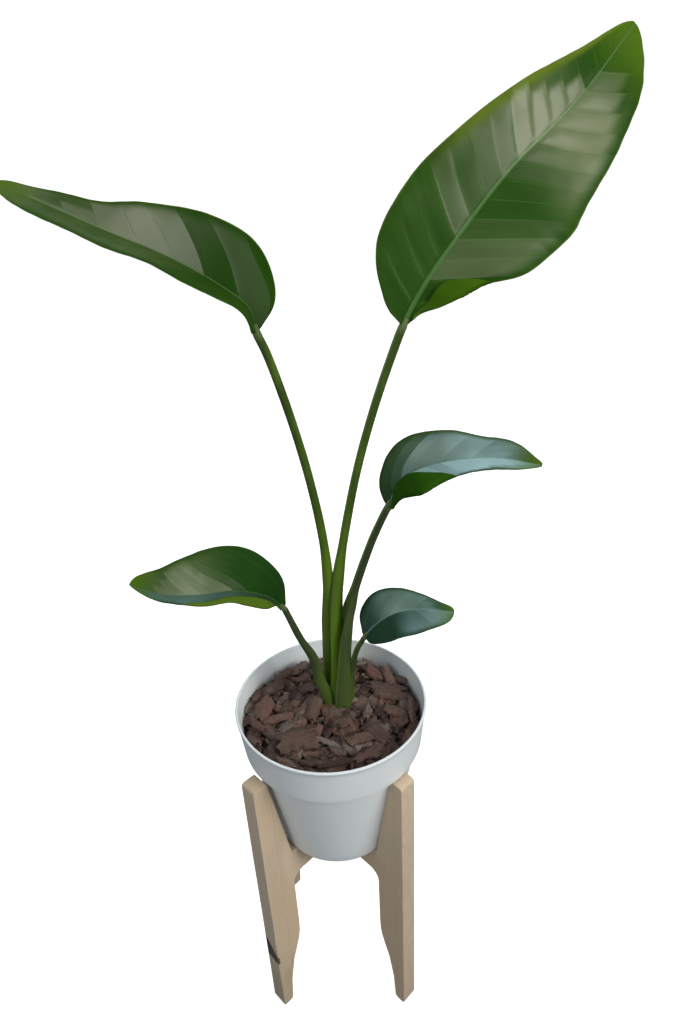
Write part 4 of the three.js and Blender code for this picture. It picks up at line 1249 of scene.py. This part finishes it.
class PLANT_OT_bark(bpy.types.Operator):
    """Strew the bark over the potting mix"""
    bl_idname = "plant.bark"
    bl_label = "Bark Mulch"

    def execute(self, context):
        look = context.scene.plant.bark
        rng = np.random.default_rng(look.seed)
        chips, crumbs = (bpy.data.collections.new(name) for name in ("chips", "crumbs"))
        for i in range(14):
            size = [rng.uniform(*limits) for limits in ((0.020, 0.040), (0.010, 0.019),
                                                        (0.003, 0.006))]
            chips.objects.link(chip_object(f"chip_{i:02d}", rng, *size))
        for i in range(6):
            size = [rng.uniform(*limits) for limits in ((0.006, 0.012), (0.002, 0.005))]
            crumbs.objects.link(chip_object(f"crumb_{i}", rng, *size, 0.002))
        material = bark_material(look)
        # The bark fills the collar with a small clearance, in millimetres.
        clearance = 0.6
        up = (look.bed_top / MM - BAND_FOOT) / (RIM - BAND_FOOT)
        wall = (BAND_RADIUS - WALL + BAND_FLARE * up - clearance) * MM
        parts = [self.bed(look, wall, material)]
        tree = scatter_tree()
        # chips, spacing, lift, tilt, smallest
        layers = ((crumbs, 0.0045, 0.003, 0.9, 0.4), (chips, 0.0100, 0.004, 0.40, 0.45),
                  (chips, 0.0150, 0.007, 0.34, 0.6), (crumbs, 0.0062, 0.0100, 0.8, 0.6))
        for i, (kind, spacing, lift, tilt, smallest) in enumerate(layers):
            parts.append(tree.apply(self.disc(look, wall - 0.004, f"layer_{i}"), {
                "Chips": kind, "Spacing": spacing, "Density": 0.9 / spacing**2,
                "Seed": look.seed + i, "Tilt": tilt, "Lift": lift, "Smallest": smallest,
                "Largest": 1.25, "Wall": wall, "Material": material}))
        for collection in (chips, crumbs):
            for obj in list(collection.objects):
                bpy.data.objects.remove(obj)
            bpy.data.collections.remove(collection)
        parts += [self.large_chip(look, rng, wall, f"large_{i:02d}", *chip)
                  for i, chip in enumerate(LARGE_CHIPS)]
        obj = joined("bark_chips", parts, material)
        obj.data.transform(Matrix.Translation(POT_CENTRE))
        settle(obj, "pine_bark", "bark_mulch")
        return {"FINISHED"}

    def large_chip(self, look, rng, wall, name, x, y, length, width, thick, turn, right, front,
                   tone):
        """One of the large chips that lie on top, in its own place."""
        obj = chip_object(name, rng, length * MM, width * MM, thick * MM, 9, 7)
        turned, leant, tipped = (Matrix.Rotation(math.radians(angle), 4, axis) for angle, axis in
                                 ((turn, "Z"), (right, "Y"), (front, "X")))
        middle = Matrix.Translation((x * MM, y * MM, look.bed_top + 0.0125))
        obj.data.transform(middle @ leant @ tipped @ turned)
        for vertex in obj.data.vertices:
            inside = min(1, wall / math.hypot(vertex.co.x, vertex.co.y))
            vertex.co.x *= inside
            vertex.co.y *= inside
        set_chip(obj.data, tone=np.full(len(obj.data.vertices), tone))
        return obj

    def disc(self, look, reach, name):
        """A shallow dome at the height of the bark."""
        rings, sides = 6, 40
        vertices = [(0, 0, look.bed_top + look.crown)]
        for ring in range(1, rings + 1):
            height = look.bed_top + look.crown * (1 - (ring / rings) ** 2)
            vertices += level_ring(reach * ring / rings, height, sides)
        faces = []
        for k in range(sides):
            n = (k + 1) % sides
            faces.append((0, 1 + k, 1 + n))
            for a in range(1, 1 + (rings - 1) * sides, sides):
                faces.append((a + k, a + k + sides, a + n + sides, a + n))
        return new_object(name, vertices, faces)

    def bed(self, look, wall, material):
        """The lower bark that the chips lie on, closed, down to the potting mix."""
        foot, sunk = 0.4153, 0.004
        obj = self.disc(look, wall, "bark_bed")
        work = bmesh.new()
        work.from_mesh(obj.data)
        made = bmesh.ops.extrude_face_region(work, geom=work.faces[:])["geom"]
        lower = {v for v in made if isinstance(v, bmesh.types.BMVert)}
        for v in work.verts:
            v.co.z = foot if v in lower else v.co.z - sunk
        bmesh.ops.recalc_face_normals(work, faces=work.faces)
        work.to_mesh(obj.data)
        work.free()
        points = [v.co for v in obj.data.vertices]
        set_chip(obj.data, place=points, tone=np.zeros(len(points)))
        obj.data.materials.append(material)
        return obj


def joined(name, parts, material):
    """One object from several plain meshes that share a material."""
    for obj in bpy.context.scene.objects:
        obj.select_set(obj in parts)
    whole = parts[0]
    bpy.context.view_layer.objects.active = whole
    bpy.ops.object.join()
    whole.name = whole.data.name = name
    whole.data.materials.clear()
    whole.data.materials.append(material)
    return whole


class PLANT_OT_soil(bpy.types.Operator):
    """Give the potting mix its look; it shows through the drainage holes"""
    bl_idname = "plant.soil"
    bl_label = "Potting Mix"

    def execute(self, context):
        node = frame["nodes"]["potting_soil"]
        node.data.materials.clear()
        node.data.materials.append(soil_material())
        return {"FINISHED"}


class PLANT_OT_stand(bpy.types.Operator):
    """Cut the two crossed boards of the stand"""
    bl_idname = "plant.stand"
    bl_label = "Stand"

    def execute(self, context):
        look = context.scene.plant.stand
        for name, turn, from_top, seed, knots in (("lower", 45, True, 1, 1.0),
                                                  ("upper", 135, False, 5, 0.0)):
            turn += STAND_TURN
            obj = board_mesh(f"board_{name}", turn, from_top, look)
            obj.data.materials.append(wood_material(f"pine_{name}", turn, look, seed, knots))
            settle(obj, "pine_board", f"stand_board_{name}")
        return {"FINISHED"}


class PLANT_OT_stage(bpy.types.Operator):
    """Set up the floor, the lights and the camera"""
    bl_idname = "plant.stage"
    bl_label = "Stage"

    def execute(self, context):
        look = context.scene.plant.stage
        context.scene.view_settings.view_transform = "Standard"
        self.cove(look)
        world = bpy.data.worlds.new("Studio")
        context.scene.world = world
        world.use_nodes = True
        colour, strength = world.node_tree.nodes["Background"].inputs[:2]
        colour.default_value = (0.90, 0.95, 1.0, 1)
        strength.default_value = look.sky
        # name, degrees right of the front, degrees up, distance, size, power, colour, mirrored
        for lamp in (
            ("Right Window", 53, 20, 2.6, (1.1, 1.0), look.window_right, (1.0, 0.94, 0.84), True),
            ("Left Window", -47, 24, 2.6, (1.7, 1.2), look.window_left, (1.0, 0.98, 0.92), True),
            ("Sky", -172, 48, 2.4, (1.6, 1.4), look.sky_light, (0.62, 0.82, 1.0), True),
            ("Right Fill", 55, 25, 2.4, (1.5, 1.5), look.fill_right, (1.0, 0.985, 0.95), False),
            ("Left Fill", -28, 18, 2.4, (1.5, 1.5), look.fill_left, (0.88, 0.96, 1.0), False),
            ("Back Fill", 178, 25, 2.4, (1.8, 1.8), look.fill_back, (0.95, 0.98, 1.0), False),
            ("Top", 0, 80, 1.8, (1.5, 1.5), look.top_light, (1.0, 1.0, 1.0), False)):
            self.light(*lamp)
        self.camera(context)
        return {"FINISHED"}

    def cove(self, look):
        """A round floor that curves up into a backdrop on every side."""
        level, bend, sides = 2.2, 1.0, 96
        profile = [(0.0, 0.0), (1.2, 0.0), (level, 0.0)]
        profile += [(level + bend * math.sin(a), bend * (1 - math.cos(a))) for a in
                    np.linspace(0.1, math.pi / 2, 14)]
        profile += [(level + bend, 1.8), (level + bend, 3.4)]
        vertices = [point for radius, height in profile
                    for point in level_ring(radius, height, sides)]
        obj = new_object("floor", vertices, tube_faces(len(profile) - 1, sides))
        s = Shader("floor_paint")
        tone = s.noise(s.place(), 3.0, 2)
        colour = s.mix(tone * 0.03, look.floor_colour, (0.8, 0.8, 0.8))
        obj.data.materials.append(s.finish(
            base_color=colour, roughness=0.9, emission_color=(1.0, 1.0, 1.0),
            emission_strength=look.floor_glow))
        obj.visible_glossy = False
        obj.visible_diffuse = False

    def light(self, name, side, rise, away, size, power, colour, mirrored):
        """A soft box that looks at the middle of the plant."""
        data = bpy.data.lights.new(name, "AREA")
        data.energy = power
        data.shape = "RECTANGLE"
        data.size, data.size_y = size
        data.color = colour
        lamp = bpy.data.objects.new(name, data)
        bpy.context.scene.collection.objects.link(lamp)
        middle = Vector((0.03, 0, 0.85))
        side, rise = math.radians(side), math.radians(rise)
        out = Vector((math.sin(side) * math.cos(rise), -math.cos(side) * math.cos(rise),
                      math.sin(rise)))
        lamp.location = middle + away * out
        lamp.rotation_euler = (-out).to_track_quat("-Z", "Y").to_euler()
        lamp.visible_glossy = mirrored

    def camera(self, context):
        """The camera of the photo, fitted to the pot's rim and foot and to the stand."""
        place, pitch, roll = (-0.01025, -0.6431, 1.0285), math.radians(27.34), -0.0537
        # The sensor in millimetres; the focal length and the picture's height in pixels.
        sensor, focal_length, picture_height = 36.0, 700, 1010
        ahead = Vector((0, math.cos(pitch), -math.sin(pitch)))
        right, up = Vector((1, 0, 0)), Vector((0, math.sin(pitch), math.cos(pitch)))
        tilted = right * math.cos(roll) + up * math.sin(roll)
        upward = up * math.cos(roll) - right * math.sin(roll)
        data = bpy.data.cameras.new("Camera")
        data.sensor_width = sensor
        data.lens = sensor * focal_length / picture_height
        data.clip_start = 0.02
        camera = bpy.data.objects.new("Camera", data)
        context.scene.collection.objects.link(camera)
        turn = Matrix((tilted, upward, -ahead)).transposed()
        camera.matrix_world = Matrix.Translation(place) @ turn.to_4x4()
        context.scene.camera = camera


class PLANT_PT_panel(bpy.types.Panel):
    """Lists the settings and the pieces"""
    bl_label = "Bird of Paradise"
    bl_idname = "PLANT_PT_panel"
    bl_space_type = "VIEW_3D"
    bl_region_type = "UI"
    bl_category = "Plant"

    def draw(self, context):
        settings = context.scene.plant
        for title, group, operators in (
                ("Leaves", settings.leaves, ("plant.blades", "plant.stalks")),
                ("Pot", settings.pot, ("plant.pot",)),
                ("Bark", settings.bark, ("plant.soil", "plant.bark")),
                ("Stand", settings.stand, ("plant.stand",)),
                ("Stage", settings.stage, ("plant.stage",))):
            box = self.layout.box()
            box.label(text=title)
            for key in group.bl_rna.properties.keys():
                if key not in {"rna_type", "name"}:
                    box.prop(group, key)
            for operator in operators:
                box.operator(operator)


CLASSES = (LeafSettings, PotSettings, BarkSettings, StandSettings, StageSettings, PlantSettings,
           PLANT_OT_blades, PLANT_OT_stalks, PLANT_OT_pot, PLANT_OT_bark, PLANT_OT_soil,
           PLANT_OT_stand, PLANT_OT_stage, PLANT_PT_panel)


def register():
    for cls in CLASSES:
        bpy.utils.register_class(cls)
    bpy.types.Scene.plant = PointerProperty(type=PlantSettings)


def unregister():
    del bpy.types.Scene.plant
    for cls in reversed(CLASSES):
        bpy.utils.unregister_class(cls)


def main():
    register()
    bpy.ops.plant.blades()
    bpy.ops.plant.stalks()
    bpy.ops.plant.pot()
    bpy.ops.plant.soil()
    bpy.ops.plant.bark()
    bpy.ops.plant.stand()
    bpy.ops.plant.stage()


if __name__ == "__main__":
    main()
